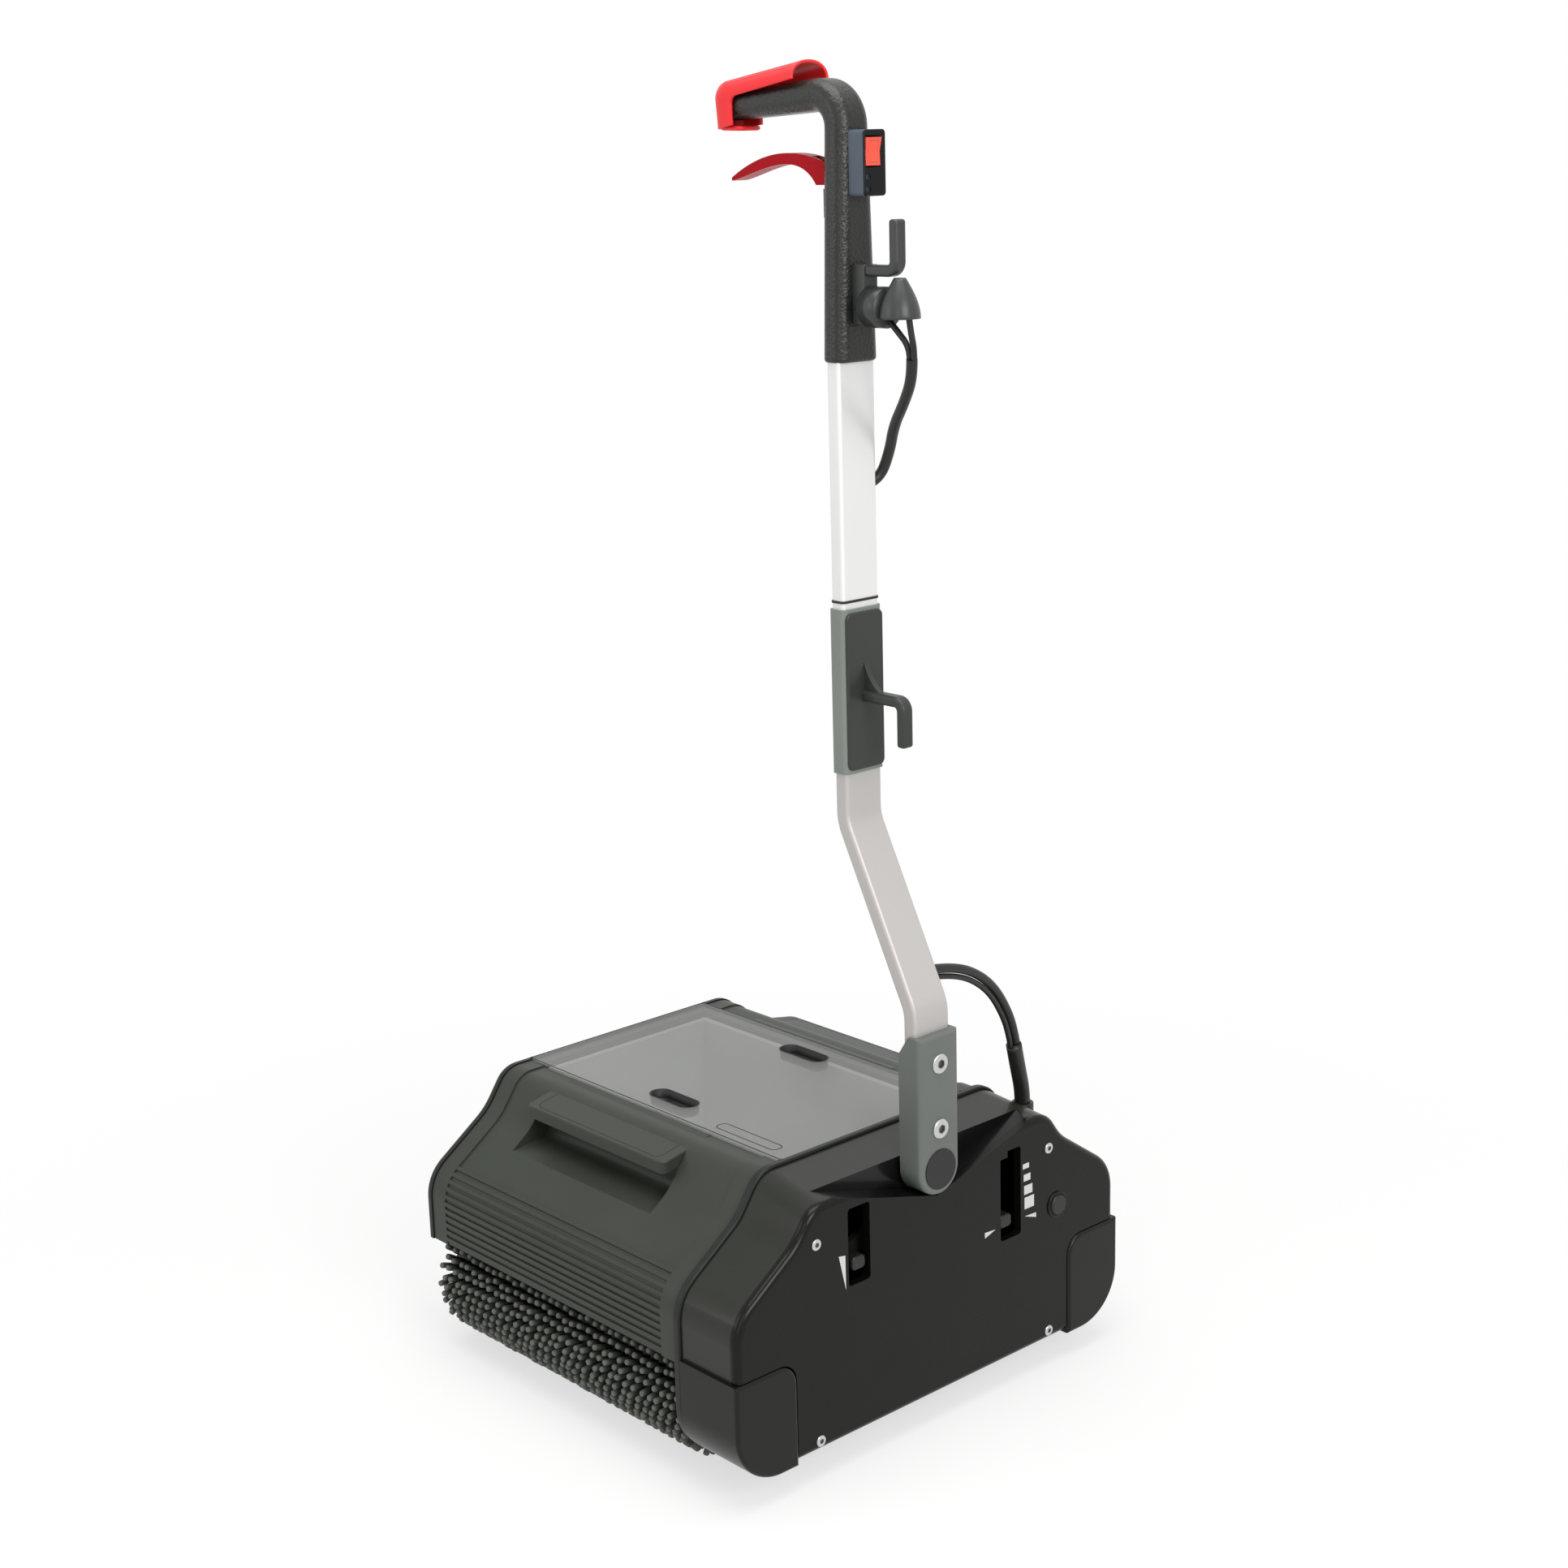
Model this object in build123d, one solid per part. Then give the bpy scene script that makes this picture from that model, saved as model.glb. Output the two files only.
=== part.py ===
from build123d import *
import math
import os

# Twin-brush upright floor scrubber. Sizes are millimetres and angles are degrees.
# +Z is up, the front of the machine faces -Y, and the drive housing is on the +X side.
# The origin is on the floor, under the middle of the chassis.

# Chassis, counted from the left plate to the outer face of the side cover
LEFT_PLATE = 9.0
BAY_WIDTH = 341.5
INNER_PLATE = 5.0
HOUSING_WIDTH = 62.5
COVER_THICKNESS = 8.0
HALF_DEPTH = 225.0
DECK_Z = 248.0
COVER_DROP = 8.0
PANEL_BOTTOM = 26.0
HEEL_RADIUS = 44.0
HOUSING_WALL = 3.0
EDGE_ROUND = 6.0
BEAD_PROUD = 2.5
BEAD_LAP = 3.0
BEAD_ROUND = 1.8

# S-shaped ramp of the side outline, from the upright wall up to the deck
SHOULDER_RADIUS = 40.0
SHOULDER_TURN = 55.0
SLOPE_LENGTH = 50.0
HOLLOW_RADIUS = 60.0
HOLLOW_TURN = 20.0
STEEP_LENGTH = 17.8
BROW_RADIUS = 26.0

# Brushes and their drive
BRUSH_RADIUS = 58.0
BRUSH_BASE_GAP = 10.0
BRUSH_Z = 62.0
BRUSH_END_GAP = 1.2
NOSE_RADIUS = 30.0
CORE_RADIUS = 34.0
BACKING_APOTHEM = 37.5
TUFTS_AROUND = 14
TUFTS_ALONG = 14
TUFT_ROOT = 8.0
TUFT_TIP = 7.0
STUB_RADIUS = 8.0
BUSH_RADIUS = 12.0
BRUSH_PULLEY_RADIUS = 28.0
DRIVE_PULLEY_RADIUS = 12.0
PULLEY_WIDTH = 12.0
PULLEY_STANDOFF = 7.0
BELT_WIDTH = 10.0
BELT_THICKNESS = 3.0
BELT_GAP = 0.3

# Motor, pinion and layshaft
MOTOR_Z = 130.0
MOTOR_RADIUS = 42.0
MOTOR_LENGTH = 176.0
MOTOR_FLANGE = 5.5
MOTOR_FLANGE_SIDE = 92.0
MOTOR_BORE = 32.0
SHAFT_RADIUS = 6.0
GEAR_TEETH = 20
GEAR_MODULE = 1.8
GEAR_WIDTH = 10.0
GEAR_STANDOFF = 23.5
BRIDGE_STANDOFF = 37.5
BRIDGE_THICKNESS = 4.0
BRIDGE_HALF = 48.0
BRIDGE_HEIGHT = 46.0
POST_RADIUS = 4.0

# Base channel, tank and water line
BASE_HALF = 97.0
BASE_WALL = 3.0
BASE_FLOOR_Z = 78.0
BASE_FLOOR = 4.0
BASE_SKIRT_Z = 66.0
BASE_TOP_Z = 234.7
RAIL_REACH = 15.0
RAIL_HEIGHT = 5.5
TANK_LEFT_GAP = 11.0
TANK_RIGHT_GAP = 15.5
TANK_BOTTOM_Z = 100.0
TANK_DRAFT = 8.0
TANK_WALL = 3.0
TANK_RIM = 3.0
TUNNEL_GAP = 4.0
DRIP_RADIUS = 3.5
DRIP_Z = 115.5

# Lid and trays
LID_HEIGHT = 7.7
LID_WALL = 3.0
LID_OVERHANG = 8.5
LID_LEFT_INSET = 4.5
LID_RIGHT_LAP = 2.5
FINGER_LENGTH = 56.0
FINGER_WIDTH = 20.0
FINGER_INSET = 28.0
TRAY_INSET = 2.5
TRAY_WALL = 3.0
TRAY_SIDE_GAP = 0.8
TRAY_BASE_GAP = 10.0
TRAY_BOTTOM_Z = 108.0
TRAY_BRUSH_GAP = 10.0
WINDOW_LOW_Z = 140.0
LIP_WIDTH = 191.0
LIP_SHIFT = -11.0
LIP_REACH = 54.0
LIP_TOP_Z = 247.0
LIP_DROP = 10.5
LIP_THICKNESS = 10.5
SCOOP_BACK = 30.0
SCOOP_FLOOR_Z = 202.0
SCOOP_FALL = 7.0
SCOOP_ROUND = 9.0
SCOOP_MARGIN = 1.0
RIB_COUNT = 11
RIB_PITCH = 6.8
RIB_WIDTH = 3.6
RIB_PROUD = 1.4
RIB_START = 5.0
RIB_FIELD = 302.0

# Handle pivot and the V-shaped pocket it swings in
PIVOT_Z = 232.0
POCKET_DEPTH = 23.0
POCKET_SLOPE = 16.0
POCKET_CLEARANCE = 1.2
PIVOT_BOSS_RADIUS = 20.0
PIVOT_BOSS_LENGTH = 2.6
PIVOT_RADIUS = 8.0
BRACKET_GAP = 0.4
BRACKET_HALF = 23.0
BRACKET_THICKNESS = 24.3
BRACKET_TOP_Z = 350.0
BRACKET_ROUND = 4.0
BRACKET_WEDGE = 17.0
BRACKET_SCREWS_Z = (268.0, 325.0)
SCREW_HEAD_RADIUS = 8.5
SCREW_SHANK_RADIUS = 4.0
SOCKET_WALL = 3.0
SOCKET_FLOOR_Z = 247.0
CAP_RADIUS = 17.5
CAP_DEPTH = 2.0
SWING = 73.0

# Handle tubes
TUBE_WIDTH = 40.0
TUBE_DEPTH = 14.0
TUBE_WALL = 2.0
TUBE_CORNER = 3.0
TUBE_OFFSET = 75.0
CRANK_LOW_Z = 370.0
CRANK_HIGH_Z = 518.0
CRANK_RADIUS = 36.0
TUBE_JOIN_Z = 628.0
UPPER_TUBE_TOP_Z = 930.0
SLEEVE_LOW_Z = 559.0
SLEEVE_HIGH_Z = 695.0
SLEEVE_WALL = 2.0
BAND_Z = 700.0
BAND_HEIGHT = 2.0
BAND_WALL = 0.8
HOOK_PLATE = 2.5
HOOK_CORNER = 5.5
HOOK_REACH = 50.5
HOOK_Z = 623.0
HOOK_BAR = 9.0
HOOK_WIDTH = 12.0
HOOK_BEND = 7.5
HOOK_DROP = 37.0
GUSSET_HALF = 2.5
GUSSET_RISE = 38.0

# Grip, switch and levers
GRIP_LOW_Z = 891.0
GRIP_WIDTH_LOW = 45.0
GRIP_DEPTH = 25.0
GRIP_WIDTH = 34.0
BEND_Z = 1070.0
BEND_RADIUS = 25.0
ARM_TILT = 4.0
ARM_LENGTH = 101.0
ARM_END_DEPTH = 20.0
ARM_END_WIDTH = 27.0
BAR_WALL = 2.6
BAR_WIDTH = 40.4
BAR_END_WIDTH = 34.0
BAR_RISE = 28.0
BAR_END_RISE = 21.5
BAR_ARCH = 14.0
BAR_START = 12.0
BAR_PRESS = 6.0
LEVER_WIDTH = 16.0
LEVER_PULL = 12.0
LEVER_Z = 1038.0
LEVER_REACH = 112.0
LEVER_BACK_GAP = 2.0
LEVER_PIN_SETBACK = 10.5
CLEVIS_NOSE = 6.0
LUG_HALF = 4.0
FORK_REACH = 12.5
BLADE_ROUND = 1.4
CLEVIS_HALF = 9.0
STOP_HEIGHT = 22.0
STOP_GAP = 5.0
STOP_DEPTH = 6.0
PIN_RADIUS = 2.5
TONGUE_REACH = 5.5
TONGUE_RADIUS = 4.5
TONGUE_WIDTH = 16.0
BAR_LIP_GAP = 3.0
BAR_BLOCK_GAP = 1.5
PIN_COVER = 2.5
SWITCH_Y = 2.0
SWITCH_WIDTH = 24.0
SWITCH_HEIGHT = 50.0
SWITCH_DEPTH = 17.0
SWITCH_Z = 1043.0
ROCKER_WIDTH = 15.0
ROCKER_HEIGHT = 21.0
ROCKER_Z = 1051.5
ROCKER_TURN = 8.0
ROCKER_SHIFT = 2.5
ROCKER_SINK = 9.0
ROCKER_END_GAP = 1.4
TRUNNION_LENGTH = 1.0
PRONG_Z = 962.0
PRONG_RISE = 39.0
PRONG_REACH = 46.5
HOOK_ARM = 9.0
HOOK_BASE_DEPTH = 12.0
HOOK_BASE_WIDTH = 16.0
HOOK_BASE_DROP = 41.0
DRUM_RADIUS = 16.0
DRUM_Z = 934.0
BELL_REACH = 44.0

# Levers and button on the side cover
LEVER_PLATE = 6.0
LEVER_SETBACK = 17.0
LEVER_HUB_RADIUS = 9.0
LEVER_BOSS_RADIUS = 10.0
HEIGHT_LEVER_ARM = 42.0
HEIGHT_LEVER_Y = 52.0
HEIGHT_LEVER_Z = 180.0
HEIGHT_LEVER_TURN = 72.0
CAM_REACH = 12.0
CRANK_PIN_RADIUS = 4.0
MOP_LEVER_ARM = 52.0
MOP_LEVER_Y = 40.0
MOP_LEVER_Z = 193.0
MOP_LEVER_TURN = 40.0
TAB_WIDTH = 15.0
TAB_HEIGHT = 12.0
SLOT_MARGIN = 8.7
MOP_SLOT_MARGIN = 10.7
SLOT_ENDS = 16.0
SLOT_STEP = 9.0
SLOT_STEP_DROP = 6.0
BUTTON_SETBACK = 76.0
BUTTON_Z = 152.0
BUTTON_RADIUS = 9.0
BUTTON_RIM = 2.8
BUTTON_RIM_PROUD = 1.5
BUTTON_PROUD = 3.5
BUTTON_TRAVEL = 4.0
BREAKER_RADIUS = 15.0
BREAKER_LENGTH = 26.0
COVER_SCREW_SETBACK = 87.0
COVER_SCREWS_Z = (35.0, 208.0)
COVER_SCREW_HEAD = 4.8
COVER_SCREW_SHANK = 2.2
BOSS_RIB = 30.0

# Bumpers on the lower corners of the drive housing
BUMPER_LENGTH = 62.0
BUMPER_TOP_Z = 115.0
BUMPER_CORNER = 18.0
BUMPER_PROUD = 3.2
BUMPER_SIDE_PROUD = 2.0
BUMPER_SEAM = 0.9

# Wheel carriage
WHEEL_RADIUS = 20.0
WHEEL_WIDTH = 22.0
WHEEL_Y = 70.0
WHEEL_LIFT = 12.0
AXLE_RADIUS = 5.0
CARRIAGE_Z = 44.0
CARRIAGE_PLATE = 4.0
CARRIAGE_HALF = 82.0
EAR_THICKNESS = 6.0
EAR_HALF = 9.0
EAR_LEFT = 54.0
EAR_RIGHT = 47.5
GUIDE_RADIUS = 6.0
GUIDE_BOSS_RADIUS = 10.0
GUIDE_LEFT = 44.0
GUIDE_RIGHT = 37.5
CARRIAGE_INSET = 34.0
RISER_THICKNESS = 4.0
RISER_GAP = 7.5
RISER_WIDTH = 26.0

# Cables
LEAD_RADIUS = 4.0
CONTROL_RADIUS = 2.5
LOWER_SLEEVE_RADIUS = 7.0
UPPER_CABLE_RADIUS = 4.5
UPPER_LEAD_RADIUS = 2.5
GROMMET_RADIUS = 10.0
GROMMET_STANDOFF = 25.5
GROMMET_SETBACK = 71.0
GROMMET_TOP_Z = 234.0
GROMMET_LENGTH = 28.0
CABLE_EXIT_Z = 393.0
CABLE_ENTRY_DROP = 98.0
LEAD_OFFSET = 2.6
CONTROL_OFFSET = 4.3
UPPER_LEAD_OFFSET = 2.55
LEAD_KNEE = 9.0

# Bow of the lower cables: share of the way out along Y, then share of the way down
LEAD_BOW = ((0.0, 0.0), (0.15, 0.02), (0.37, 0.09), (0.58, 0.22), (0.75, 0.41), (0.83, 0.55), (0.86, 0.62))
SLEEVE_BOW = ((0.86, 0.62), (0.93, 0.78), (1.0, 0.93), (1.0, 1.0))

# Clearances
RUN_CLEARANCE = 0.05
SEAT_CLEARANCE = 0.03
PANEL_GAP = 0.3
SLOT_CLEARANCE = 0.4

# X places, from left to right
total_width = LEFT_PLATE + BAY_WIDTH + INNER_PLATE + HOUSING_WIDTH + COVER_THICKNESS
x_left_out = -total_width / 2
x_left_in = x_left_out + LEFT_PLATE
x_bay_right = x_left_in + BAY_WIDTH
x_inner_out = x_bay_right + INNER_PLATE
x_cover_in = x_inner_out + HOUSING_WIDTH
x_cover_out = x_cover_in + COVER_THICKNESS
x_pocket = x_cover_out - POCKET_DEPTH
x_bracket = x_pocket + PIVOT_BOSS_LENGTH + BRACKET_GAP
x_bracket_out = x_bracket + BRACKET_THICKNESS
x_lower_tube = x_bracket + SOCKET_WALL + TUBE_DEPTH / 2
x_tube = x_lower_tube - TUBE_OFFSET
x_pulley = x_inner_out + PULLEY_STANDOFF
x_gear = x_inner_out + GEAR_STANDOFF
x_bridge = x_inner_out + BRIDGE_STANDOFF
tray_x0 = x_left_in + TRAY_SIDE_GAP
tray_x1 = x_bay_right - TRAY_SIDE_GAP
tray_middle = (tray_x0 + tray_x1) / 2

# Heights of the S-shaped ramp follow from its arcs
brow_turn = 90 - SHOULDER_TURN + HOLLOW_TURN
first_slope = math.radians(90 - SHOULDER_TURN)
steep_slope = math.radians(brow_turn)
shoulder_z = (
    DECK_Z
    - SHOULDER_RADIUS * math.sin(math.radians(SHOULDER_TURN))
    - SLOPE_LENGTH * math.sin(first_slope)
    - HOLLOW_RADIUS * (math.cos(first_slope) - math.cos(steep_slope))
    - STEEP_LENGTH * math.sin(steep_slope)
    - BROW_RADIUS * (1 - math.cos(steep_slope))
)

gear_radius = GEAR_MODULE * GEAR_TEETH / 2

# Y places, from the base channel outwards and from the ends of the side outline inwards
brush_y = BASE_HALF + BRUSH_BASE_GAP + BRUSH_RADIUS
tray_inner_y = BASE_HALF + TRAY_BASE_GAP
lid_half = BASE_HALF + LID_OVERHANG
finger_y = lid_half - FINGER_INSET
button_y = HALF_DEPTH - BUTTON_SETBACK
cover_screw_y = HALF_DEPTH - COVER_SCREW_SETBACK
bumper_inner_y = HALF_DEPTH - BUMPER_LENGTH
grommet_y = HALF_DEPTH - GROMMET_SETBACK

# Places inside the bay
brush_x0 = x_left_in + BRUSH_END_GAP
tuft_x0 = x_left_out + HOUSING_WALL + BRUSH_END_GAP
brush_x1 = x_bay_right - BRUSH_END_GAP
lid_x0 = x_left_out + LID_LEFT_INSET
lid_x1 = x_bay_right + LID_RIGHT_LAP
lid_low_z = DECK_Z - LID_HEIGHT
tank_x0 = x_left_in + TANK_LEFT_GAP
tank_x1 = x_bay_right - TANK_RIGHT_GAP
tunnel_x = x_bay_right - MOTOR_FLANGE - MOTOR_LENGTH - TUNNEL_GAP
motor_shaft_x0 = x_bay_right - MOTOR_FLANGE - MOTOR_BORE
drip_x = x_left_in + TANK_LEFT_GAP / 2
drip_y = BASE_HALF + DRIP_RADIUS + SLOT_CLEARANCE
lip_middle = tray_middle + LIP_SHIFT
arch_radius = BRUSH_RADIUS + TRAY_BRUSH_GAP
arch_rise = math.sqrt(max(0, arch_radius**2 - (brush_y - tray_inner_y) ** 2))
edge_rise = math.sqrt(max(0, arch_radius**2 - (HALF_DEPTH - TRAY_INSET - brush_y) ** 2))
rail_top = max(TRAY_BOTTOM_Z, BRUSH_Z + arch_rise) - PANEL_GAP
tray_edge_z = max(TRAY_BOTTOM_Z, BRUSH_Z + edge_rise)
carriage_x0 = x_left_in + CARRIAGE_INSET
ear_places = (x_left_in + EAR_LEFT, x_bay_right - EAR_RIGHT)
guide_places = (x_left_in + GUIDE_LEFT, x_bay_right - GUIDE_RIGHT)
guide_boss_low = CARRIAGE_Z + CARRIAGE_PLATE + PANEL_GAP
riser_x = x_bay_right - RISER_GAP - RISER_THICKNESS
crank_z = HEIGHT_LEVER_Z + WHEEL_LIFT / 2
crank_y = HEIGHT_LEVER_Y - WHEEL_LIFT / 2 / math.tan(math.radians(HEIGHT_LEVER_TURN / 2))
riser_y0 = crank_y - RISER_WIDTH / 2
riser_y1 = crank_y + RISER_WIDTH / 2

# Places behind the side cover and on the handle
lever_x = x_cover_in - LEVER_SETBACK
breaker_seat = x_cover_in - BUTTON_TRAVEL - SLOT_CLEARANCE
button_stem = x_cover_in - BREAKER_LENGTH + HOUSING_WALL
grommet_x = x_inner_out + GROMMET_STANDOFF
hook_x = x_tube + TUBE_DEPTH / 2 + SLEEVE_WALL
grip_face = x_tube + GRIP_DEPTH / 2
grip_back = x_tube - GRIP_DEPTH / 2
bend_x = x_tube - BEND_RADIUS
crank_slope = TUBE_OFFSET / (CRANK_HIGH_Z - CRANK_LOW_Z)
cable_exit_x = x_lower_tube - (CABLE_EXIT_Z - CRANK_LOW_Z) * crank_slope


def side_plane(x):
    """Sketch plane across the machine: sketch x is Y, sketch y is Z, and it extrudes along +X."""
    return Plane(origin=(x, 0, 0), x_dir=(0, 1, 0), z_dir=(1, 0, 0))


def slab(face, x0, x1):
    """A side-view face given thickness from x0 to x1."""
    return extrude(side_plane(x0) * face, amount=x1 - x0)


def side_rect(y0, y1, z0, z1):
    """Rectangle in the side view."""
    return Pos((y0 + y1) / 2, (z0 + z1) / 2) * Rectangle(y1 - y0, z1 - z0)


def rod_x(radius, x0, x1, y, z):
    """Round rod along X."""
    return slab(Pos(y, z) * Circle(radius), x0, x1)


def rod_y(radius, y0, y1, x, z):
    """Round rod along Y."""
    plane = Plane(origin=(x, y0, z), x_dir=(1, 0, 0), z_dir=(0, 1, 0))
    return extrude(plane * Circle(radius), amount=y1 - y0)


def rod_z(radius, z0, z1, x, y):
    """Round rod along Z."""
    return extrude(Plane(origin=(x, y, z0)) * Circle(radius), amount=z1 - z0)


def block(x0, x1, y0, y1, z0, z1):
    """Box between two corners."""
    place = Pos((x0 + x1) / 2, (y0 + y1) / 2, (z0 + z1) / 2)
    return place * Box(x1 - x0, y1 - y0, z1 - z0)


def front_slab(face, y0, y1):
    """A front-view face, sketch x is X and sketch y is Z, given thickness from y0 to y1."""
    plane = Plane(origin=(0, y0, 0), x_dir=(1, 0, 0), z_dir=(0, -1, 0))
    return extrude(plane * face, amount=y0 - y1)


def outline(inset=0.0, drop=0.0):
    """Closed side outline of the machine, moved inwards by inset all round, with its deck lowered by drop."""
    half = HALF_DEPTH - inset
    bottom = PANEL_BOTTOM + inset
    heel = HEEL_RADIUS - inset
    sill_line = Line((0, bottom), (half - heel, bottom))
    heel_arc = JernArc(sill_line @ 1, (1, 0), heel, 90)
    wall_line = Line(heel_arc @ 1, (half, shoulder_z))
    shoulder_arc = JernArc(wall_line @ 1, (0, 1), SHOULDER_RADIUS - inset, SHOULDER_TURN)
    slope_line = Line(shoulder_arc @ 1, (shoulder_arc @ 1) + (shoulder_arc % 1) * SLOPE_LENGTH)
    hollow_arc = JernArc(slope_line @ 1, slope_line % 1, HOLLOW_RADIUS + inset, -HOLLOW_TURN)
    steep_length = STEEP_LENGTH - drop / math.sin(steep_slope)
    steep_line = Line(hollow_arc @ 1, (hollow_arc @ 1) + (hollow_arc % 1) * steep_length)
    brow_arc = JernArc(steep_line @ 1, steep_line % 1, BROW_RADIUS - inset, brow_turn)
    deck_line = Line(brow_arc @ 1, (0, (brow_arc @ 1).Y))
    rear = [sill_line, heel_arc, wall_line, shoulder_arc, slope_line, hollow_arc]
    rear += [steep_line, brow_arc, deck_line]
    front = [mirror(edge, about=Plane.YZ) for edge in rear]
    return make_face(rear + front)


def above_pocket(drop=0.0):
    """Side-view region above the V-shaped pocket floor, with the floor lowered by drop."""
    slope = math.radians(POCKET_SLOPE)
    apex_z = PIVOT_Z - (BRACKET_HALF + POCKET_CLEARANCE + drop) / math.cos(slope)
    reach = HALF_DEPTH + POCKET_DEPTH
    side_z = apex_z + reach * math.tan(slope)
    top_z = DECK_Z + reach
    rear_corners = [(reach, side_z), (reach, top_z)]
    front_corners = [(-reach, top_z), (-reach, side_z)]
    return Polygon((0, apex_z), *rear_corners, *front_corners, align=None)


def outer_edges(solid, axis=Axis.X):
    """Edges round the face that is furthest along an axis."""
    return solid.faces().sort_by(axis)[-1].edges()


def rear_copy(front):
    """The same piece on the other side of the machine's middle plane."""
    return mirror(front, about=Plane.XZ)


def lid_seat():
    """Space that the lid drops into, open at the top."""
    half = lid_half + PANEL_GAP
    low_z = lid_low_z - PANEL_GAP
    return block(lid_x0 - PANEL_GAP, lid_x1 + PANEL_GAP, -half, half, low_z, DECK_Z + 2 * BEAD_PROUD)


def left_side_plate():
    """Thin left side, cut back round the brush ends so that only a round nose carries each brush stub."""
    plate = slab(outline(), x_left_out, x_left_in)
    plate = fillet(plate.faces().sort_by(Axis.X)[0].edges(), EDGE_ROUND) - lid_seat()
    recess_radius = BRUSH_RADIUS + TRAY_BRUSH_GAP / 2
    for side in (-1, 1):
        y = side * brush_y
        corner = side_rect(min(y, 2 * y), max(y, 2 * y), 0, tray_edge_z - PANEL_GAP)
        cut = slab(corner, x_left_out - 1, x_left_in + 1)
        cut += rod_x(recess_radius, x_left_out + HOUSING_WALL, x_left_in + 1, y, BRUSH_Z)
        plate -= cut - rod_x(NOSE_RADIUS, x_left_out - 2, x_left_in + 2, y, BRUSH_Z)
        plate -= rod_x(BUSH_RADIUS + SEAT_CLEARANCE, x_left_out - 1, x_left_in + 1, y, BRUSH_Z)
        plate += rod_x(BUSH_RADIUS + 2 * HOUSING_WALL, x_left_out, x_left_out + HOUSING_WALL, y, BRUSH_Z)
    return plate


def lever_bosses(radius, x0, x1):
    """The two round places on the inner plate that carry the lever shafts."""
    front = rod_x(radius, x0, x1, -MOP_LEVER_Y, MOP_LEVER_Z)
    rear = rod_x(radius, x0, x1, HEIGHT_LEVER_Y, HEIGHT_LEVER_Z)
    return [front, rear]


def right_inner_plate():
    """Plate between the brush bay and the drive housing, with a round bead that laps over the housing."""
    bead_x1 = x_inner_out + BEAD_LAP
    plate = slab(outline(-BEAD_PROUD), x_bay_right, bead_x1)
    rims = plate.faces().sort_by(Axis.X)[0].edges() + outer_edges(plate)
    plate = fillet(rims, BEAD_ROUND) - lid_seat()
    plate -= slab(outline(-PANEL_GAP), x_inner_out, bead_x1 + 1)
    for boss in lever_bosses(LEVER_BOSS_RADIUS, x_bay_right, x_pocket - HOUSING_WALL):
        plate += boss
    for bore in lever_bosses(SHAFT_RADIUS + RUN_CLEARANCE, x_bay_right - 1, x_pocket):
        plate -= bore
    for y in (-brush_y, brush_y):
        plate -= rod_x(BUSH_RADIUS + SEAT_CLEARANCE, x_bay_right - 1, x_inner_out + 1, y, BRUSH_Z)
    for y in (-gear_radius, gear_radius):
        plate -= rod_x(SHAFT_RADIUS + RUN_CLEARANCE, x_bay_right - 1, x_inner_out + 1, y, MOTOR_Z)
    return plate


def housing_body(inset):
    """Solid body of the drive housing, whose deck falls towards the side cover, moved inwards by inset."""
    inner = side_plane(x_inner_out) * outline(inset)
    return loft([inner, side_plane(x_cover_in) * outline(inset, COVER_DROP)], ruled=True)


def drive_housing():
    """Band round the drive with the S-shaped ends, the V-shaped pocket and the handle's boss."""
    body = housing_body(0)
    band = body - housing_body(HOUSING_WALL) - slab(above_pocket(), x_pocket, x_cover_in + 1)
    floor_face = above_pocket(HOUSING_WALL) - above_pocket()
    band += slab(floor_face, x_pocket - HOUSING_WALL, x_cover_in) & body
    band += slab(above_pocket(HOUSING_WALL), x_pocket - HOUSING_WALL, x_pocket) & body
    band += rod_x(PIVOT_BOSS_RADIUS, x_pocket, x_pocket + PIVOT_BOSS_LENGTH, 0, PIVOT_Z) & body
    for y in (-cover_screw_y, cover_screw_y):
        for z in COVER_SCREWS_Z:
            boss = Pos(y, z) * Circle(COVER_SCREW_HEAD + HOUSING_WALL)
            boss += Pos(y, z + math.copysign(BOSS_RIB / 2, z - MOTOR_Z)) * Rectangle(HOUSING_WALL, BOSS_RIB)
            band += slab(boss, x_cover_in - BUMPER_CORNER, x_cover_in) & body
            band -= rod_x(COVER_SCREW_SHANK + SEAT_CLEARANCE, x_cover_in - BUMPER_CORNER, x_cover_in, y, z)
    pivot_bore = PIVOT_RADIUS + SEAT_CLEARANCE
    band -= rod_x(pivot_bore, x_pocket - 2 * HOUSING_WALL, x_bracket, 0, PIVOT_Z)
    return band - rod_z(GROMMET_RADIUS + SEAT_CLEARANCE, MOTOR_Z, DECK_Z, grommet_x, grommet_y)


def slot_face(y0, y1, z0, z1):
    """Upright slot in the side view with small round corners."""
    return Pos((y0 + y1) / 2, (z0 + z1) / 2) * RectangleRounded(y1 - y0, z1 - z0, HOUSING_WALL)


def lever_slot(shaft_z, arm, turn, near_y, far_y, margin):
    """Slot that clears a lever's tab over its whole turn, between two places along Y."""
    rise = arm * math.sin(math.radians(turn / 2)) + SLOT_ENDS
    y0 = min(near_y, far_y) - margin
    y1 = max(near_y, far_y) + margin
    return slot_face(y0, y1, shaft_z - rise, shaft_z + rise)


def mop_slot():
    """Slot for the mop-up lever's tab."""
    near_y = -MOP_LEVER_Y - MOP_LEVER_ARM * math.cos(math.radians(MOP_LEVER_TURN / 2))
    far_y = -MOP_LEVER_Y - MOP_LEVER_ARM
    return lever_slot(MOP_LEVER_Z, MOP_LEVER_ARM, MOP_LEVER_TURN, near_y, far_y, MOP_SLOT_MARGIN)


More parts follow.
